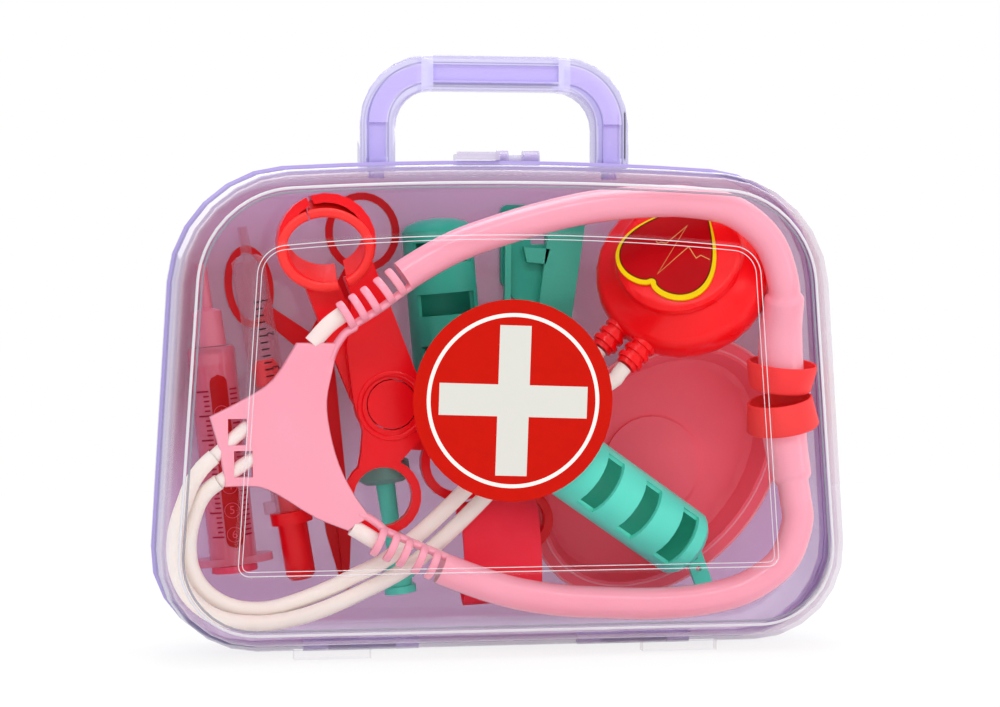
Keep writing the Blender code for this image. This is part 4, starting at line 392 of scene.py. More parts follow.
def slab(corners, front, back):
    """A flat plate over corners given in X and Z: its outline at two depths, each drawn in to its middle."""
    flat = np.array(corners)
    if np.cross(flat[1] - flat[0], flat[2] - flat[1]) > 0:
        flat = flat[::-1]
    middle = np.broadcast_to(flat.mean(0), flat.shape)
    rings = ((middle, back), (flat, back), (flat, front), (middle, front))
    return np.stack([upright(ring, depth) for ring, depth in rings])


def merged_mesh(node, angle):
    """A CAD node's loose triangles with their shared points joined, and sharp edges past an angle."""
    source = frame["nodes"][node].data
    points = np.empty(len(source.vertices) * 3)
    source.vertices.foreach_get("co", points)
    corners = np.empty(len(source.loops), int)
    source.loops.foreach_get("vertex_index", corners)
    keys, joined = np.unique(np.round(points.reshape(-1, 3), 7), axis=0, return_inverse=True)
    faces = joined.reshape(-1)[corners].reshape(-1, 3)
    good = (faces[:, 0] != faces[:, 1]) & (faces[:, 1] != faces[:, 2]) & (faces[:, 0] != faces[:, 2])
    mesh = bpy.data.meshes.new(node + "_skin")
    mesh.from_pydata(keys.tolist(), [], faces[good].tolist())
    mesh.validate()
    mesh.shade_smooth()
    mesh.set_sharp_from_angle(angle=angle)
    return mesh


def dress(node, material, angle=CASE_SHARP):
    """The node's own shape, merged and smoothed, in a finish."""
    piece = stand_in(node, merged_mesh(node, angle), material)
    piece.modifiers.new("even_normals", "WEIGHTED_NORMAL").keep_sharp = True


# Finishes

def feed(tree, socket, value):
    """Give a socket a link from another, a colour by its code, or a plain value."""
    if isinstance(value, bpy.types.NodeSocket):
        tree.links.new(value, socket)
    else:
        socket.default_value = rgba(value) if isinstance(value, str) else value


def add_node(tree, kind, inputs):
    """A shader node of a kind, with inputs given by name or number."""
    node = tree.nodes.new("ShaderNode" + kind)
    for key, value in inputs.items():
        feed(tree, node.inputs[key], value)
    return node


def new_tree(name):
    """A material with an empty tree, and its output."""
    material = bpy.data.materials.new(name)
    material.use_nodes = True
    tree = material.node_tree
    tree.nodes.clear()
    return material, tree, tree.nodes.new("ShaderNodeOutputMaterial")


def maths(tree, operation, *values, clamp=False):
    """A Math node; each value is a number or a socket."""
    node = tree.nodes.new("ShaderNodeMath")
    node.operation = operation
    node.use_clamp = clamp
    for socket, value in zip(node.inputs, values):
        feed(tree, socket, value)
    return node.outputs[0]


def blend_colours(tree, factor, first, second):
    """A colour between two, by a mask."""
    node = tree.nodes.new("ShaderNodeMix")
    node.data_type = "RGBA"
    for index, value in ((0, factor), (6, first), (7, second)):
        feed(tree, node.inputs[index], value)
    return node.outputs[2]


def own_noise(tree, scale, detail=2.0):
    """Noise over the piece's own coordinates."""
    where = tree.nodes.new("ShaderNodeTexCoord").outputs["Object"]
    return add_node(tree, "TexNoise", {"Vector": where, "Scale": scale, "Detail": detail}).outputs[0]


def own_place(tree):
    """The piece's own X, Y and Z."""
    where = tree.nodes.new("ShaderNodeTexCoord").outputs["Object"]
    return add_node(tree, "SeparateXYZ", {0: where}).outputs


def surface(tree, output, inputs):
    """A Principled shader with its inputs, as the whole surface."""
    shader = add_node(tree, "BsdfPrincipled", inputs)
    tree.links.new(shader.outputs[0], output.inputs["Surface"])


def mixed_surface(tree, output, share, first, second):
    """Two shaders as the whole surface, the second by its share."""
    mixed = add_node(tree, "MixShader", {0: share, 1: first.outputs[0], 2: second.outputs[0]})
    tree.links.new(mixed.outputs[0], output.inputs["Surface"])


def seen_rays(tree):
    """One for what the camera sees, straight, by reflection or through clear plastic."""
    path = tree.nodes.new("ShaderNodeLightPath").outputs
    indirect = maths(tree, "MAXIMUM", path["Is Glossy Ray"], path["Is Transmission Ray"])
    return maths(tree, "MAXIMUM", path["Is Camera Ray"], indirect)


def moulded_group():
    """Moulded plastic: slow drifts of colour, fine grain for the bump, and uneven polish."""
    found = bpy.data.node_groups.get("moulded_skin")
    if found:
        return found
    group = bpy.data.node_groups.new("moulded_skin", "ShaderNodeTree")
    for way, kind, names in (("INPUT", "Color", ("Colour", "Deep colour")),
                             ("INPUT", "Float", ("Drift", "Grain", "Polish")),
                             ("OUTPUT", "Color", ("Colour",)), ("OUTPUT", "Float", ("Roughness", "Height"))):
        for name in names:
            group.interface.new_socket(name, in_out=way, socket_type="NodeSocket" + kind)
    inlet = group.nodes.new("NodeGroupInput").outputs
    slow, fine = own_noise(group, inlet["Drift"]), own_noise(group, inlet["Grain"], 3.0)
    mask = maths(group, "MULTIPLY", maths(group, "SUBTRACT", slow, 0.35), 1.8, clamp=True)
    uneven = maths(group, "MULTIPLY", slow, 0.12)
    outlet = group.nodes.new("NodeGroupOutput").inputs
    for name, value in (("Colour", blend_colours(group, mask, inlet["Colour"], inlet["Deep colour"])),
                        ("Roughness", maths(group, "ADD", inlet["Polish"], uneven)), ("Height", fine)):
        group.links.new(value, outlet[name])
    return group


def moulded(name, colour, deep, polish=0.3, grain=700.0, drift=30.0, bump=0.2, soft=0.0, coat=0.0):
    """Moulded plastic or rubber: soft is how much light goes into it, coat how much gloss lies over it."""
    material, tree, output = new_tree(name)
    skin = tree.nodes.new("ShaderNodeGroup")
    skin.node_tree = moulded_group()
    for key, value in (("Colour", rgba(colour)), ("Deep colour", rgba(deep)), ("Drift", drift),
                       ("Grain", grain), ("Polish", polish)):
        skin.inputs[key].default_value = value
    relief = add_node(tree, "Bump", {"Strength": bump, "Distance": 0.0002, "Height": skin.outputs["Height"]})
    surface(tree, output, {
        "Base Color": skin.outputs["Colour"], "Roughness": skin.outputs["Roughness"],
        "Normal": relief.outputs["Normal"], "Specular IOR Level": 0.25, "Subsurface Weight": soft,
        "Subsurface Radius": (1.0, 0.5, 0.4), "Subsurface Scale": 0.003, "Coat Weight": coat,
        "Coat Roughness": 0.12})
    return material


def near(tree, value, low, high, soft):
    """A mask that is one where a value lies between two limits, with soft sides."""
    first = maths(tree, "DIVIDE", maths(tree, "SUBTRACT", value, low - soft), soft)
    last = maths(tree, "DIVIDE", maths(tree, "SUBTRACT", high + soft, value), soft)
    return maths(tree, "MINIMUM", first, last, clamp=True)


def grip_distance(tree, place):
    """How far a spot lies from the handle's middle line: two uprights joined by two arcs and a bar."""
    across = maths(tree, "SUBTRACT", maths(tree, "ABSOLUTE", place["X"]), HANDLE_HALF - HANDLE_TURN)
    up = maths(tree, "SUBTRACT", place["Z"], HANDLE_LINE_TOP - HANDLE_TURN)
    out_x, out_z = (maths(tree, "MAXIMUM", value, 0.0) for value in (across, up))
    outside = maths(tree, "SQRT", maths(tree, "ADD", maths(tree, "MULTIPLY", out_x, out_x),
                                        maths(tree, "MULTIPLY", out_z, out_z)))
    inside = maths(tree, "MINIMUM", maths(tree, "MAXIMUM", across, up), 0.0)
    return maths(tree, "ABSOLUTE", maths(tree, "SUBTRACT", maths(tree, "ADD", outside, inside), HANDLE_TURN))


def zone_mask(tree, place, bands):
    """One where every band of a zone holds; side is measured from the middle, grip from the handle's line."""
    masks = []
    for measure, low, high, soft in bands:
        if measure == "grip":
            value = grip_distance(tree, place)
        elif measure == "side":
            value = maths(tree, "ABSOLUTE", place["X"])
        else:
            value = place[measure]
        masks.append(near(tree, value, low, high, soft))
    return masks[0] if len(masks) == 1 else maths(tree, "MULTIPLY", *masks)


def clear_plastic(name, tint, body_colour, haze, edge, zones=()):
    """Clear plastic: lets light through by its tint, and shows its own colour at a glance and in zones.

    haze is how much of its own colour shows face on, and edge how much more shows at a glance. Each zone is
    given by its name, how much shows there, and its colour.
    """
    material, tree, output = new_tree(name)
    facing = add_node(tree, "LayerWeight", {"Blend": 0.35}).outputs["Facing"]
    amount = maths(tree, "MULTIPLY", maths(tree, "POWER", facing, 2.0), edge)
    amount = maths(tree, "ADD", amount, haze, clamp=True)
    place = own_place(tree)
    darker = rgba([value * 0.88 for value in linear(body_colour)])
    own = blend_colours(tree, own_noise(tree, 22.0), body_colour, darker)
    for zone, shown, colour in zones:
        mask = zone_mask(tree, place, ZONES[zone])
        left = maths(tree, "MULTIPLY", amount, maths(tree, "SUBTRACT", 1.0, mask))
        amount = maths(tree, "ADD", left, maths(tree, "MULTIPLY", mask, shown))
        own = blend_colours(tree, mask, own, rgba(colour))
    shader = add_node(tree, "BsdfPrincipled", {
        "Base Color": own, "Roughness": 0.06, "Specular IOR Level": 0.5, "Coat Weight": 0.3,
        "Coat Roughness": 0.03})
    through = add_node(tree, "BsdfTransparent", {"Color": rgba(tint)})
    mixed_surface(tree, output, amount, through, shader)
    return material


class CaseSettings(bpy.types.PropertyGroup):
    """Sizes and colours that a user would change."""
    cross_width: FloatProperty(name="Cross arm width", description="Width of each arm of the printed cross",
                               default=0.0107, min=0.002, subtype="DISTANCE", unit="LENGTH")
    cross_span: FloatProperty(name="Cross span", description="Length of the printed cross from end to end",
                              default=0.0505, min=0.005, subtype="DISTANCE", unit="LENGTH")
    ring_radius: FloatProperty(name="Ring radius", description="Outer radius of the printed ring",
                               default=0.0294, min=0.005, subtype="DISTANCE", unit="LENGTH")
    ring_width: FloatProperty(name="Ring width", description="Width of the ring printed round the cross",
                              default=0.0013, min=0.0002, subtype="DISTANCE", unit="LENGTH")
    label_red: FloatVectorProperty(name="Label red", description="Ground colour of the round label",
                                   default=linear("#C81000"), min=0, max=1, subtype="COLOR", size=3)
    print_white: FloatVectorProperty(name="Print white", description="Colour of the cross",
                                     default=linear("#D4D3CA"), min=0, max=1, subtype="COLOR", size=3)
    pink: FloatVectorProperty(name="Headset pink", description="Colour of the headset",
                              default=linear("#FFA9BA"), min=0, max=1, subtype="COLOR", size=3)
    red: FloatVectorProperty(name="Toy red", description="Colour of the red plastic toys",
                             default=linear("#FC0014"), min=0, max=1, subtype="COLOR", size=3)
    teal: FloatVectorProperty(name="Toy teal", description="Colour of the teal plastic toys",
                              default=linear("#50D8C0"), min=0, max=1, subtype="COLOR", size=3)
    lavender: FloatVectorProperty(name="Case lavender", description="Own colour of the tinted case parts",
                                  default=linear("#C4B5F1"), min=0, max=1, subtype="COLOR", size=3)
    light_power: FloatProperty(name="Key light", description="Power of the large key lamp",
                               default=LAMPS[0][3], min=0.0, subtype="POWER", unit="POWER")


def settings():
    """The sizes and colours set in this scene."""
    return bpy.context.scene.doctor_case


class CASE_OT_camera(bpy.types.Operator):
    """Set the camera at the photograph's viewing angle"""
    bl_idname = "doctor_case.camera"
    bl_label = "Camera"

    def execute(self, context):
        look = Vector((math.sin(VIEW_AZIMUTH) * math.cos(VIEW_ELEVATION),
                       math.cos(VIEW_AZIMUTH) * math.cos(VIEW_ELEVATION), -math.sin(VIEW_ELEVATION)))
        data = bpy.data.cameras.new("camera")
        data.lens = VIEW_LENS
        data.sensor_width = 36.0
        data.shift_x, data.shift_y = VIEW_SHIFT
        data.clip_start = 0.01
        camera = bpy.data.objects.new("camera", data)
        camera.location = VIEW_AIM - look * VIEW_DISTANCE
        camera.rotation_euler = look.to_track_quat("-Z", "Y").to_euler()
        context.scene.collection.objects.link(camera)
        context.scene.camera = camera
        return {"FINISHED"}


class CASE_OT_sound_tubes(bpy.types.Operator):
    """Lay the two soft sound tubes from the yoke round to the chest piece"""
    bl_idname = "doctor_case.sound_tubes"
    bl_label = "Sound tubes"

    def execute(self, context):
        rubber = moulded("cream_rubber", "#FBF3E9", "#F6E8DD", 0.42, 1500.0, soft=0.2)
        for name, route, length in (("sound_tube_outer", OUTER_TUBE, OUTER_TUBE_LENGTH),
                                    ("sound_tube_inner", INNER_TUBE, INNER_TUBE_LENGTH)):
            points = smooth_route(route, TUBE_RADIUS)
            curve = bpy.data.curves.new(name + "_soft", "CURVE")
            curve.dimensions = "3D"
            curve.bevel_depth = TUBE_RADIUS
            curve.bevel_resolution = 6
            curve.use_fill_caps = True
            spline = curve.splines.new("POLY")
            spline.points.add(len(points) - 1)
            spline.points.foreach_set("co", np.column_stack((points, np.ones(len(points)))).ravel())
            spline.use_smooth = True
            curve.materials.append(rubber)
            piece = bpy.data.objects.new(name + "_soft", curve)
            context.scene.collection.objects.link(piece)
            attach(piece, "case")
            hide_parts(name)
        return {"FINISHED"}


class CASE_OT_shells(bpy.types.Operator):
    """Finish the two clear halves, the handle and the latch"""
    bl_idname = "doctor_case.shells"
    bl_label = "Case halves, handle and latch"

    def execute(self, context):
        seam = (("lip", 0.8, "#B8A8E4"), ("joint", 0.9, "#9484C8"))
        # The back half's zones add a painted reflection of the red toys and painted shade behind them to the
        # seam's own colours.
        back = (("back_wall_painted_reflection", 0.50, "#D28CC8"), ("back_middle_painted_shade", 0.70, "#B24068"), *seam)
        grip = (("grip_core", 0.86, settings().lavender), ("grip_line", 0.6, "#8D82BC"),
                ("grip_edge", 0.5, "#A79DCC"), ("grip_blocks", 0.6, "#DEDAFA"),
                ("grip_shade", 0.7, "#77708E"), ("grip_ink", 0.85, "#2A2433"))
        for node, name, tint, colour, haze, edge, zones in (
                ("front_shell", "clear_front", (0.985, 0.98, 0.985), "#E9E2F2", 0.0, 0.85, seam),
                ("back_shell", "tinted_back", (0.92, 0.87, 0.95), "#E2DDFA", 0.26, 0.6, back),
                ("handle", "tinted_handle", (0.90, 0.88, 0.99), "#E6E3FE", 0.32, 0.6, grip),
                ("latch_clip", "milky_latch", (0.95, 0.93, 0.98), "#E4DDF2", 0.45, 0.6, ())):
            dress(node, clear_plastic(name, tint, colour, haze, edge, zones))
        # Thin loops on the clear front that paint light: pale lines along the panel's step are painted
        # highlights, a pale loop inside the case's outline is painted glare, and a grey loop beside it is
        # painted shade.
        for name, tint, colour, haze, edge, lines in (
                ("panel_edge_painted_highlight", (0.98, 0.97, 0.98), "#F6F3F6", 0.66, 0.1,
                 ((PANEL, 0.0, 0.00016, FACE_Y), (PANEL, 0.0014, 0.00014, FACE_Y + 0.0006))),
                ("face_glare", (0.98, 0.97, 0.98), "#ECE9EE", 0.75, 0.2,
                 ((CASE, FACE_INSET - 0.0010, 0.0005, FACE_Y + 0.0002),)),
                ("face_shade", (0.9, 0.9, 0.92), "#A3A1AE", 0.55, 0.2,
                 ((CASE, FACE_INSET + 0.0004, 0.0004, FACE_Y + 0.0001),))):
            material = clear_plastic(name, tint, colour, haze, edge)
            loops = []
            for shape, inset, radius, depth in lines:
                route = upright(outline_loop(shape, inset), depth)
                loops.append((swept(route, radius, min(radius, 0.00025), 8, True), True, True))
            add_on(name, joined_mesh(name, loops), material, "front_shell")
        return {"FINISHED"}


class CASE_OT_label(bpy.types.Operator):
    """Print the round label: a pale cross in a thin ring on red"""
    bl_idname = "doctor_case.label"
    bl_label = "Round label"

    def execute(self, context):
        sizes = settings()
        material, tree, output = new_tree("printed_label")
        where = tree.nodes.new("ShaderNodeTexCoord").outputs["Object"]
        turn = tree.nodes.new("ShaderNodeMapping")
        turn.vector_type = "TEXTURE"
        for key, value in (("Vector", where), ("Location", LABEL_CENTRE), ("Rotation", (0, LABEL_TURN, 0))):
            feed(tree, turn.inputs[key], value)
        split = add_node(tree, "SeparateXYZ", {0: turn.outputs[0]})
        across, up = (maths(tree, "ABSOLUTE", split.outputs[axis]) for axis in ("X", "Z"))
        arms = [maths(tree, "MULTIPLY", maths(tree, "LESS_THAN", first, sizes.cross_width / 2),
                      maths(tree, "LESS_THAN", second, sizes.cross_span / 2))
                for first, second in ((across, up), (up, across))]
        cross = maths(tree, "MAXIMUM", *arms)
        radius = maths(tree, "SQRT", maths(tree, "ADD", maths(tree, "MULTIPLY", across, across),
                                           maths(tree, "MULTIPLY", up, up)))
        ring = maths(tree, "MULTIPLY", maths(tree, "LESS_THAN", radius, sizes.ring_radius),
                     maths(tree, "GREATER_THAN", radius, sizes.ring_radius - sizes.ring_width))
        film = own_noise(tree, 350.0)
        deep = rgba([value * 0.86 for value in sizes.label_red])
        red = blend_colours(tree, film, rgba(sizes.label_red), deep)
        colour = blend_colours(tree, ring, red, "#FFE6E0")
        colour = blend_colours(tree, cross, colour, rgba(sizes.print_white))
        relief = add_node(tree, "Bump", {"Strength": 0.15, "Distance": 0.0001, "Height": film})
        surface(tree, output, {"Base Color": colour, "Roughness": 0.45, "Specular IOR Level": 0.08,
                               "Normal": relief.outputs[0]})
        dress("round_label", material)
        return {"FINISHED"}


class CASE_OT_headset(bpy.types.Operator):
    """Finish the headset: yoke, arms, short tubes and ear cups"""
    bl_idname = "doctor_case.headset"
    bl_label = "Headset"

    def execute(self, context):
        pink = moulded("headset_pink", settings().pink, "#FE9FB2", 0.28, drift=25.0, soft=0.1, coat=0.8)
        cream = moulded("plug_tube", "#FBEFE6", "#F6E2DA", 0.42, 1500.0, soft=0.2)
        rubber = moulded("cup_rubber", "#FF4644", "#FF3438", 0.42, 800.0, 35.0, 0.3)
        dress("headset_yoke", pink, TOOL_SHARP)
        for node, route, strut, open_side, collar in (
                ("headset_arm_upper", UPPER_ARM, UPPER_STRUT, 1, UPPER_COLLAR),
                ("headset_arm_lower", LOWER_ARM, LOWER_STRUT, -1, LOWER_COLLAR)):
            mesh = joined_mesh(node + "_skin", arm_grids(route, strut, open_side, collar))
            mesh.set_sharp_from_angle(angle=EDGE_SHARP)
            stand_in(node, mesh, pink)
        for node, route in (("yoke_tube_upper", UPPER_PLUG), ("yoke_tube_lower", LOWER_PLUG)):
            tube = swept(smooth_route(route, ROUTE_SPACING), PLUG_RADIUS, PLUG_RADIUS, 32)
            mesh = quad_mesh(node + "_skin", tube, close_v=True)
            mesh.set_sharp_from_angle(angle=EDGE_SHARP)
            stand_in(node, mesh, cream)
        for index, route in enumerate(SOCKET_ENDS):
            tube = swept(smooth_route(route, ROUTE_SPACING), SOCKET_RADIUS, SOCKET_RADIUS, 28)
            mesh = quad_mesh("socket_end", tube, close_v=True)
            add_on(f"socket_end_{index + 1}", mesh, cream, "yoke_tube_upper")
        for node, cup in EAR_CUPS.items():
            stand_in(node, cup_mesh(node, cup), rubber)
        return {"FINISHED"}


def cup_mesh(node, cup):
    """A soft open cup: a wall, a rolled lip and a floor turned about its own line, then leaned and rolled."""
    low, high, half = cup["low"], cup["high"], cup["height"] / 2
    lip = np.radians(np.linspace(0, 180, 9))
    roll, floor = CUP_WALL / 2, half - cup["floor"]
    profile = np.vstack((
        [(0, -half), (low - 0.0016, -half), (low - 0.0007, 0.0002 - half), (low - 0.0001, 0.0009 - half)],
        np.column_stack((high - roll + np.cos(lip) * roll, half - roll + np.sin(lip) * roll)),
        [(high - CUP_WALL - 0.0004, floor), (high - CUP_WALL - 0.0014, floor - 0.0008), (0, floor - 0.0008)]))
    turn = full_turn(64)
    grid = np.stack((profile[:, :1] * np.cos(turn), profile[:, :1] * np.sin(turn),
                     np.broadcast_to(profile[:, 1:], (len(profile), len(turn)))), -1)
    place = (Matrix.Translation(cup["centre"]) @ Matrix.Rotation(math.radians(cup["tilt"]), 4, "X")
             @ Matrix.Rotation(math.radians(cup["roll"]), 4, "Y"))
    mesh = quad_mesh(node + "_skin", grid, close_v=True, place=place)
    mesh.set_sharp_from_angle(angle=EDGE_SHARP)
    return mesh


def arm_grids(route, strut, open_side, collar):
    """An arm past its sleeve, the sleeve's rail run on to the yoke, and the sleeve's arched ribs.

    The arm is a round sweep that steps out at a collar and widens to the ear end. The rail is a flat sweep on
    the closed side. A rib is a band bent over the front from the rail to the open side: its middle line is an
    arc about the sleeve's line, its section a rounded box, drawn in at both ends.
    """
    line = smooth_route(route, 0.0008)
    run = run_along(line)
    arm = line[run >= SLEEVE_LENGTH]
    left = run[-1] - run[run >= SLEEVE_LENGTH]
    radius = np.interp(left, (0, collar, collar + COLLAR_SLOPE),
                       (ARM_END_RADIUS, ARM_RADIUS + COLLAR_STEP, ARM_RADIUS))
    grids = [(swept(arm, radius, radius, 40), False, True)]
    along = unit(np.gradient(line, axis=0))
    up = np.cross(along, (0, 1, 0))
    up *= np.sign(up[:, 2:3]) * open_side
    sleeve = run <= SLEEVE_LENGTH + 0.002
    rail = (line - up * (ARM_RADIUS - RAIL_HALF[0]))[sleeve][::-6]
    rail = smooth_route(np.vstack((rail, strut)), 0.0006)
    grids.append((swept(rail, *RAIL_HALF, 20), False, True))
    pitch = SLEEVE_LENGTH / RIB_COUNT
    place = np.searchsorted(run, RIB_WIDTH / 2 + pitch * np.arange(RIB_COUNT))
    bend = np.radians(np.linspace(-96, 88, 40))
    taper = np.sqrt(np.clip(1 - np.abs(np.linspace(-1, 1, 40)) ** 14, 0, 1))
    turn = full_turn(16)
    wide = np.sign(np.cos(turn)) * np.abs(np.cos(turn)) ** 0.6 * RIB_WIDTH / 2
    thick = np.sign(np.sin(turn)) * np.abs(np.sin(turn)) ** 0.6 * RIB_THICKNESS / 2
    for spot in place:
        out = (np.cos(bend)[:, None] * np.array((0, -1, 0)) + np.sin(bend)[:, None] * up[spot])[:, None]
        reach = (ARM_RADIUS - RIB_THICKNESS / 2 + taper[:, None] * thick)[..., None]
        grid = line[spot] + out * reach + (taper[:, None] * wide)[..., None] * along[spot]
        grids.append((grid if open_side > 0 else grid[::-1], False, True))
    return grids


def heart_piece():
    """A heart whose width is the cube of a sine and whose height is a sum of cosines, shrunk to its middle.

    The mesh carries each point's distance to the rim, and its place on the heart, for the print.
    """
    width, height, thick = HEART_SIZE
    t = full_turn(144)
    x = np.sin(t) ** 3 * width / 2
    z = 13 * np.cos(t) - 3.0 * np.cos(2 * t) - 1.39 * np.cos(3 * t)
    z -= (z.max() + z.min()) / 2
    z *= height / (z.max() - z.min())
    rim = np.column_stack((x, z))
    share = np.concatenate((np.linspace(0.0, 0.75, 6), np.linspace(0.78, 1.0, 16)))[:, None, None]
    middle = np.array((0, height * 0.08))
    flat = middle + (rim - middle) * share
    gap = np.sqrt(((flat[:, :, None, :] - rim[None, None]) ** 2).sum(-1)).min(-1)
    face = np.stack((flat[..., 0], np.full(flat.shape[:2], -thick / 2), flat[..., 1]), -1)
    back = face[::-1] * (1, -1, 1)
    place = HEART_FRAME @ Matrix.Translation(HEART_LIFT)
    mesh = quad_mesh("heart_print", np.vstack((face, back)), close_v=True, place=place)
    mark = mesh.attributes.new("rim_gap", "FLOAT", "POINT")
    mark.data.foreach_set("value", np.vstack((gap, gap[::-1])).ravel())
    mesh.set_sharp_from_angle(angle=TOOL_SHARP)
    material, tree, output = new_tree("heart_print")
    source = tree.nodes.new("ShaderNodeAttribute")
    source.attribute_name = "rim_gap"
    distance = source.outputs["Fac"]
    fill = blend_colours(tree, own_noise(tree, 60.0), "#C80010", "#A60006")
    wider = maths(tree, "MULTIPLY", maths(tree, "SUBTRACT", 0.1365, own_place(tree)["Z"]), 0.055)
    border = maths(tree, "MAXIMUM", maths(tree, "ADD", 0.0012, wider), 0.0005)
    edged = blend_colours(tree, maths(tree, "LESS_THAN", distance, maths(tree, "ADD", border, 0.0005)), fill,
                          "#5A1205")
    colour = blend_colours(tree, maths(tree, "LESS_THAN", distance, border), edged, "#F7D900")
    surface(tree, output, {"Base Color": colour, "Roughness": 0.3, "Specular IOR Level": 0.1})
    new_piece("heart_print", mesh, material, "case", ("heart_badge",))


def ribbon(points, width, lift):
    """A flat strip along a broken line in a plane: each point is set out to both sides by its mitre."""
    points = np.array(points)
    along = unit(np.diff(points, axis=0))
    normal = np.column_stack((-along[:, 1], along[:, 0]))
    mitre = unit(np.vstack((normal[:1], normal[:-1] + normal[1:], normal[-1:])))
    reach = width / 2 / np.maximum((mitre * np.vstack((normal, normal[-1:]))).sum(1), 0.35)
    rows = [points + mitre * side * reach[:, None] for side in (-1, 1)]
    rings = [(rows[0], lift), (rows[1], lift), (rows[1], lift / 2), (rows[0], lift / 2)]
    return np.stack([upright(flat, depth) for flat, depth in rings])


class CASE_OT_chest_piece(bpy.types.Operator):
    """Finish the chest piece, its cap, and the heart with its pulse line"""
    bl_idname = "doctor_case.chest_piece"
    bl_label = "Chest piece"

    def execute(self, context):
        red = moulded("chest_red", "#FF0A12", "#FA0410", 0.22, 600.0, bump=0.15, coat=0.12)
        dress("chest_piece_body", red, TOOL_SHARP)
        dress("chest_piece_cap", red, TOOL_SHARP)
        heart_piece()
        gold = moulded("pulse_gold", "#E8B060", "#D99A6A", 0.35, *INK_GRAIN)
        strip = quad_mesh("heart_pulse", ribbon(PULSE_LINE, PULSE_WIDTH, -HEART_SIZE[2] / 2 - 0.00006),
                          close_u=True, place=HEART_FRAME @ Matrix.Translation(HEART_LIFT))
        add_on("heart_pulse", strip, gold, "heart_badge")
        return {"FINISHED"}


def barrel_marks(radius, rows, thick, place):
    """Printed ticks round a barrel: each is a patch of the cylinder between two angles at a height."""
    turn = np.array([np.linspace(first, last, 9) for _, first, last in rows])
    level = np.array([height for height, _, _ in rows])[:, None]
    grid = np.stack([on_barrel(radius, turn, level + side * thick / 2) for side in (-1, 1)], axis=1)
    return joined_mesh("barrel_marks", [(patch, False, False) for patch in grid], place)


def barrel_strip(radius, low, high, middle, half, place):
    """A printed strip up a barrel with round ends: its half width follows a circle near each end."""
    level = np.linspace(low, high, 60)
    room = np.clip(np.minimum(level - low, high - level) / (radius * half), 0, 1)
    wide = half * np.sqrt(1 - (1 - room) ** 2)
    turn = middle + wide[:, None] * np.linspace(-1, 1, 13)
    return quad_mesh("barrel_strip", on_barrel(radius, turn, level[:, None])[::-1], place=place)


def digits(text, size, place, name, ink):
    """A small printed number on a barrel, made a mesh before it is placed."""
    curve = bpy.data.curves.new(name, "FONT")
    curve.body = text
    curve.size = size
    curve.align_x = "CENTER"
    curve.align_y = "CENTER"
    draft = bpy.data.objects.new(name, curve)
    bpy.context.scene.collection.objects.link(draft)
    mesh = bpy.data.meshes.new_from_object(draft)
    bpy.data.objects.remove(draft)
    mesh.transform(place)
    mesh.name = name
    print_on(name, mesh, ink)


def face_front(height, across, reach, turn=0.0):
    """Where a flat print sits on the front of a barrel: X across, Y up the barrel, facing forward."""
    upright = Matrix(((1, 0, 0, across), (0, 0, -1, -reach), (0, 1, 0, height), (0, 0, 0, 1)))
    return upright @ Matrix.Rotation(turn, 4, "Z")


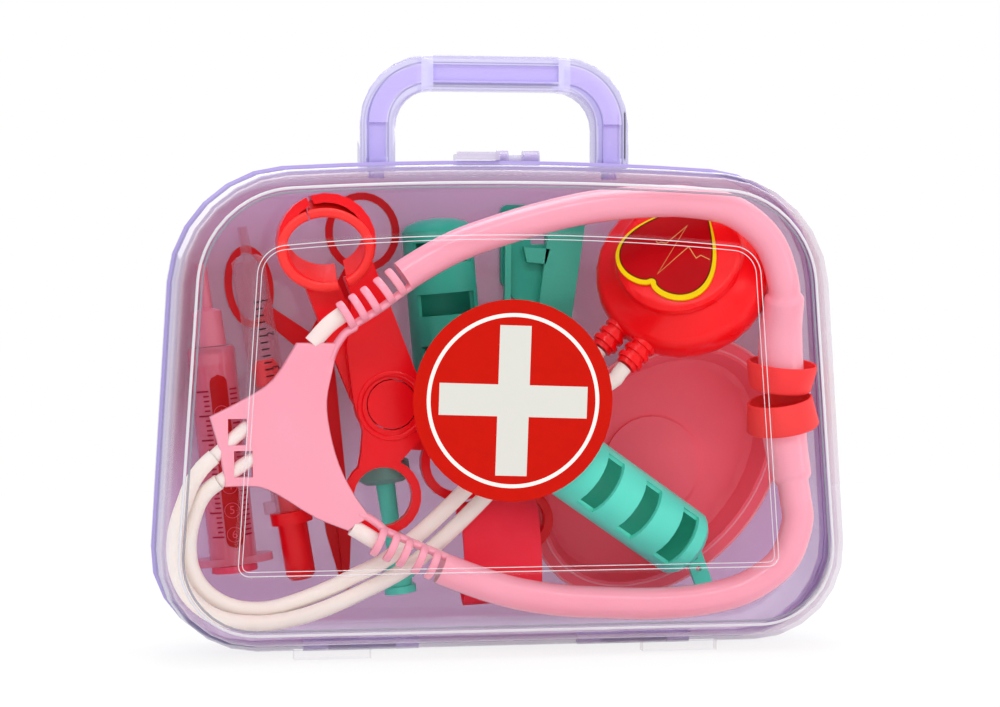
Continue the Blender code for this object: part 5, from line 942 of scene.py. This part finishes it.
class CASE_OT_syringes(bpy.types.Operator):
    """Finish the two syringes and print their scales"""
    bl_idname = "doctor_case.syringes"
    bl_label = "Syringes"

    def execute(self, context):
        clear_pink = clear_plastic("clear_pink", (0.99, 0.82, 0.86), "#FF90A6", 0.42, 0.5)
        clear = clear_plastic("clear_barrel", (0.96, 0.88, 0.90), "#F0C0C8", 0.08, 0.6)
        rose = moulded("plunger_rose", "#FA5C78", "#EE3C5C", 0.28)
        red = moulded("plunger_red", settings().red, "#E0000E", 0.25, coat=0.1)
        white = moulded("seal_white", "#F3EEEA", "#E4DCD8", 0.4, *INK_GRAIN)
        ink = moulded("scale_ink", "#A3002E", "#8C0026", 0.5, *INK_GRAIN)
        strip_ink = moulded("strip_ink", "#B80008", "#A60006", 0.4, *INK_GRAIN)
        number_ink = moulded("number_ink", "#E0485A", "#D03A4C", 0.5, *INK_GRAIN)
        dark_ink = moulded("scale_black", "#2A1016", "#1C0A10", 0.5, *INK_GRAIN)
        nozzle = clear_plastic("nozzle_pink", (0.98, 0.76, 0.82), "#FF98AC", 0.66, 0.4)
        for node, finish in (("syringe_wide_barrel", clear_pink), ("syringe_wide_nozzle", nozzle),
                             ("syringe_wide_plunger", rose), ("syringe_wide_seal", white),
                             ("syringe_slim_barrel", clear), ("syringe_slim_plunger", red),
                             ("syringe_slim_tip", red)):
            dress(node, finish)
        wide_rows = [(WIDE_TOP - WIDE_TICK * i, -0.96 if i % 5 == 0 else -0.62, -0.36) for i in range(31)]
        slim_rows = [(SLIM_TOP - SLIM_TICK * i, -0.14, 0.33) for i in range(26)]
        right_rows = [(height, 0.56, 1.02) for height, _, _ in wide_rows]
        for name, radius, place, material, rows, thick in (
                ("wide_scale", WIDE_SKIN, WIDE_FRAME, ink, wide_rows, 0.00055),
                ("wide_scale_right", WIDE_SKIN, WIDE_FRAME, ink, right_rows, 0.00055),
                ("slim_scale", SLIM_SKIN, SLIM_FRAME, dark_ink, slim_rows, 0.0005)):
            print_on(name, barrel_marks(radius, rows, thick, place), material)
        print_on("wide_strip", barrel_strip(0.00829, 0.006, 0.0665, 0.096, 0.375, WIDE_FRAME), strip_ink)
        for index in range(1, 7):
            height = WIDE_TOP + 0.0005 - 5 * WIDE_TICK * index
            spot = WIDE_FRAME @ face_front(height, 0.0008, 0.0084)
            digits(str(index), 0.0040, spot, f"wide_number_{index}", number_ink)
            place = WIDE_FRAME @ Matrix.Translation((0.0008, -0.00838, height))
            circle = swept(oval((0, 0), (0.0026, 0.0026), 0.0, full_turn(48)), 0.00016, 0.00005, 6, True)
            print_on(f"wide_circle_{index}", quad_mesh("circle", circle, True, True, place), number_ink)
        for index in range(1, 6):
            height = SLIM_TOP + 0.012 - 5 * SLIM_TICK * index
            spot = SLIM_FRAME @ face_front(height, 0.0031, 0.0056, math.pi / 2)
            digits(str(index), 0.0034, spot, f"slim_number_{index}", dark_ink)
        return {"FINISHED"}


def jaw_grids(first, last):
    """Half of the ring jaw: a wall from the front rim's ellipse to the rear edge's, and a rim swept on it."""
    turn = np.radians(np.linspace(first, last, 60))
    sides = ((JAW_FRONT, 0.0), (JAW_FRONT, JAW_WALL), (JAW_REAR, JAW_WALL), (JAW_REAR, 0.0))
    edges = [oval(edge["centre"], np.array(edge["axes"]) + out - JAW_WALL, edge["y"], turn)
             for edge, out in sides]
    wall = np.stack(edges, 1)
    ends = [np.broadcast_to(wall[row].mean(0), (1, 4, 3)) for row in (0, -1)]
    rim = swept((edges[0] + edges[1]) / 2, JAW_RIM, 0.0010, 20)
    return [(np.vstack((ends[0], wall, ends[1])), False, True), (rim, False, True)]


class CASE_OT_pinchers(bpy.types.Operator):
    """Finish the forceps and the scissors"""
    bl_idname = "doctor_case.pinchers"
    bl_label = "Forceps and scissors"

    def execute(self, context):
        red = moulded("tool_red", settings().red, "#E0000E", 0.24, coat=0.1)
        rose = moulded("scissors_red", "#E00A18", "#C80414")
        # The ring jaw is drawn in a lighter red than the forceps: painted light on its front rim.
        lit_jaw_red = moulded("jaw_red_painted_light", "#FF3A34", "#FF2C2A", 0.24, coat=0.1)
        for tool, finish in (("forceps", red), ("scissors", rose)):
            for part in ("left", "right", "rivet"):
                dress(f"{tool}_{part}", finish, TOOL_SHARP)
        for name, node, first, last in JAW_HALVES:
            mesh = joined_mesh(name, jaw_grids(first, last))
            mesh.set_sharp_from_angle(angle=EDGE_SHARP)
            add_on(name, mesh, lit_jaw_red, node)
        ring = oval(BOSS_CENTRE, (BOSS_RADIUS, BOSS_RADIUS), BOSS_Y, full_turn(96))
        mesh = quad_mesh("forceps_boss_ring", swept(ring, 0.0010, 0.0005, 12, True), True, True)
        add_on("forceps_boss_ring", mesh, red, "forceps_right")
        return {"FINISHED"}


class CASE_OT_teal_tools(bpy.types.Operator):
    """Finish the teal scopes, the lug, the long blade and the hammer"""
    bl_idname = "doctor_case.teal_tools"
    bl_label = "Teal tools"

    def execute(self, context):
        teal = moulded("toy_teal", "#62E6CC", settings().teal, 0.28)
        # The blade is in a darker teal than its walls: painted shade that makes its channel look deep, with
        # the walls' lighter teal as painted light. The rear scope shares the darker teal.
        deep = moulded("deep_and_shaded_teal", "#38B49A", "#2CA48C")
        light = moulded("blade_wall_lit_teal", "#4CC0A4", "#40AE94")
        grey = moulded("hammer_teal", "#6FA89C", "#5F9488", 0.35)
        for node, finish in (("scope_front", teal), ("scope_lug", teal), ("scope_rear", deep),
                             ("teal_blade", deep), ("hammer_head", grey), ("hammer_stem", teal)):
            dress(node, finish)
        walls = joined_mesh("blade_walls", [(slab(corners, BLADE_WALL_FRONT, BLADE_WALL_BACK), False, True)
                                            for corners in BLADE_WALLS])
        walls.set_sharp_from_angle(angle=EDGE_SHARP)
        add_on("blade_walls", walls, light, "teal_blade")
        return {"FINISHED"}


class CASE_OT_soft_things(bpy.types.Operator):
    """Finish the tray, the soft band and the ring"""
    bl_idname = "doctor_case.soft_things"
    bl_label = "Tray, band and ring"

    def execute(self, context):
        tray = moulded("tray_rose", "#FF6A7A", "#F05A6A", 0.36, 600.0, 18.0)
        band = moulded("band_red", "#FF364A", "#FA2038", 0.6, 500.0, 60.0, 0.5)
        red = moulded("ring_red", settings().red, "#E0000E", 0.26)
        dress("oval_tray", tray)
        loops = []
        # Two pale loops round the rim: painted highlights.
        for axes, radius in TRAY_HIGHLIGHTS:
            route = oval(TRAY_MIDDLE, axes, TRAY_FRONT, full_turn(160), TRAY_LEAN)
            loops.append((swept(route, radius, 0.0002, 8, True), True, True))
        line = moulded("tray_rim_highlight", "#FF9AA4", "#F88C98", 0.3, *INK_GRAIN)
        add_on("tray_rim_highlights", joined_mesh("tray_rim_highlights", loops), line, "oval_tray")
        dress("cuff_band", band)
        dress("red_ring", red, TOOL_SHARP)
        return {"FINISHED"}


class CASE_OT_stage(bpy.types.Operator):
    """Set the plain pale floor, the white surround and the soft lamps"""
    bl_idname = "doctor_case.stage"
    bl_label = "Stage"

    def execute(self, context):
        scene = context.scene
        scene.view_settings.view_transform = "Standard"
        scene.cycles.transparent_max_bounces = 24
        world = bpy.data.worlds.new("surround")
        scene.world = world
        world.use_nodes = True
        tree = world.node_tree
        tree.nodes.clear()
        output = tree.nodes.new("ShaderNodeOutputWorld")
        plain = add_node(tree, "Background", {"Color": (0.96, 0.97, 1.0, 1), "Strength": 0.84})
        shown = add_node(tree, "Background", {"Color": (1.0, 1.0, 1.0, 1), "Strength": 1.0})
        mixed_surface(tree, output, seen_rays(tree), plain, shown)

        material, tree, output = new_tree("pale_floor")
        plain = add_node(tree, "BsdfPrincipled", {"Base Color": (0.93, 0.93, 0.93, 1), "Roughness": 0.9})
        glow = tree.nodes.new("ShaderNodeEmission")
        mixed_surface(tree, output, maths(tree, "MULTIPLY", seen_rays(tree), 0.82), plain, glow)
        corners = [(FLOOR_HALF * x, FLOOR_HALF * y, 0) for x, y in ((-1, -1), (1, -1), (1, 1), (-1, 1))]
        mesh = bpy.data.meshes.new("floor")
        mesh.from_pydata(corners, [], [(0, 1, 2, 3)])
        mesh.materials.append(material)
        floor = bpy.data.objects.new("floor", mesh)
        scene.collection.objects.link(floor)

        for name, place, size, power in LAMPS:
            lamp = bpy.data.lights.new(name, "AREA")
            lamp.shape = "RECTANGLE"
            lamp.size, lamp.size_y = size
            lamp.energy = settings().light_power if name == "key" else power
            item = bpy.data.objects.new(name, lamp)
            item.location = place
            item.rotation_euler = (VIEW_AIM - Vector(place)).to_track_quat("-Z", "Y").to_euler()
            scene.collection.objects.link(item)
        return {"FINISHED"}


class CASE_PT_panel(bpy.types.Panel):
    """Doctor case dressing"""
    bl_idname = "CASE_PT_panel"
    bl_label = "Doctor case"
    bl_space_type = "VIEW_3D"
    bl_region_type = "UI"
    bl_category = "Doctor case"

    def draw(self, context):
        for name in CaseSettings.__annotations__:
            self.layout.prop(context.scene.doctor_case, name)
        for operator in OPERATORS:
            self.layout.operator(operator.bl_idname)


OPERATORS = (CASE_OT_camera, CASE_OT_sound_tubes, CASE_OT_shells, CASE_OT_label, CASE_OT_headset,
             CASE_OT_chest_piece, CASE_OT_syringes, CASE_OT_pinchers, CASE_OT_teal_tools,
             CASE_OT_soft_things, CASE_OT_stage)
CLASSES = (CaseSettings, *OPERATORS, CASE_PT_panel)


def register():
    for item in CLASSES:
        bpy.utils.register_class(item)
    bpy.types.Scene.doctor_case = PointerProperty(type=CaseSettings)


def unregister():
    del bpy.types.Scene.doctor_case
    for item in reversed(CLASSES):
        bpy.utils.unregister_class(item)


def main():
    register()
    for operator in OPERATORS:
        group, name = operator.bl_idname.split(".")
        getattr(getattr(bpy.ops, group), name)()


if __name__ == "__main__":
    main()
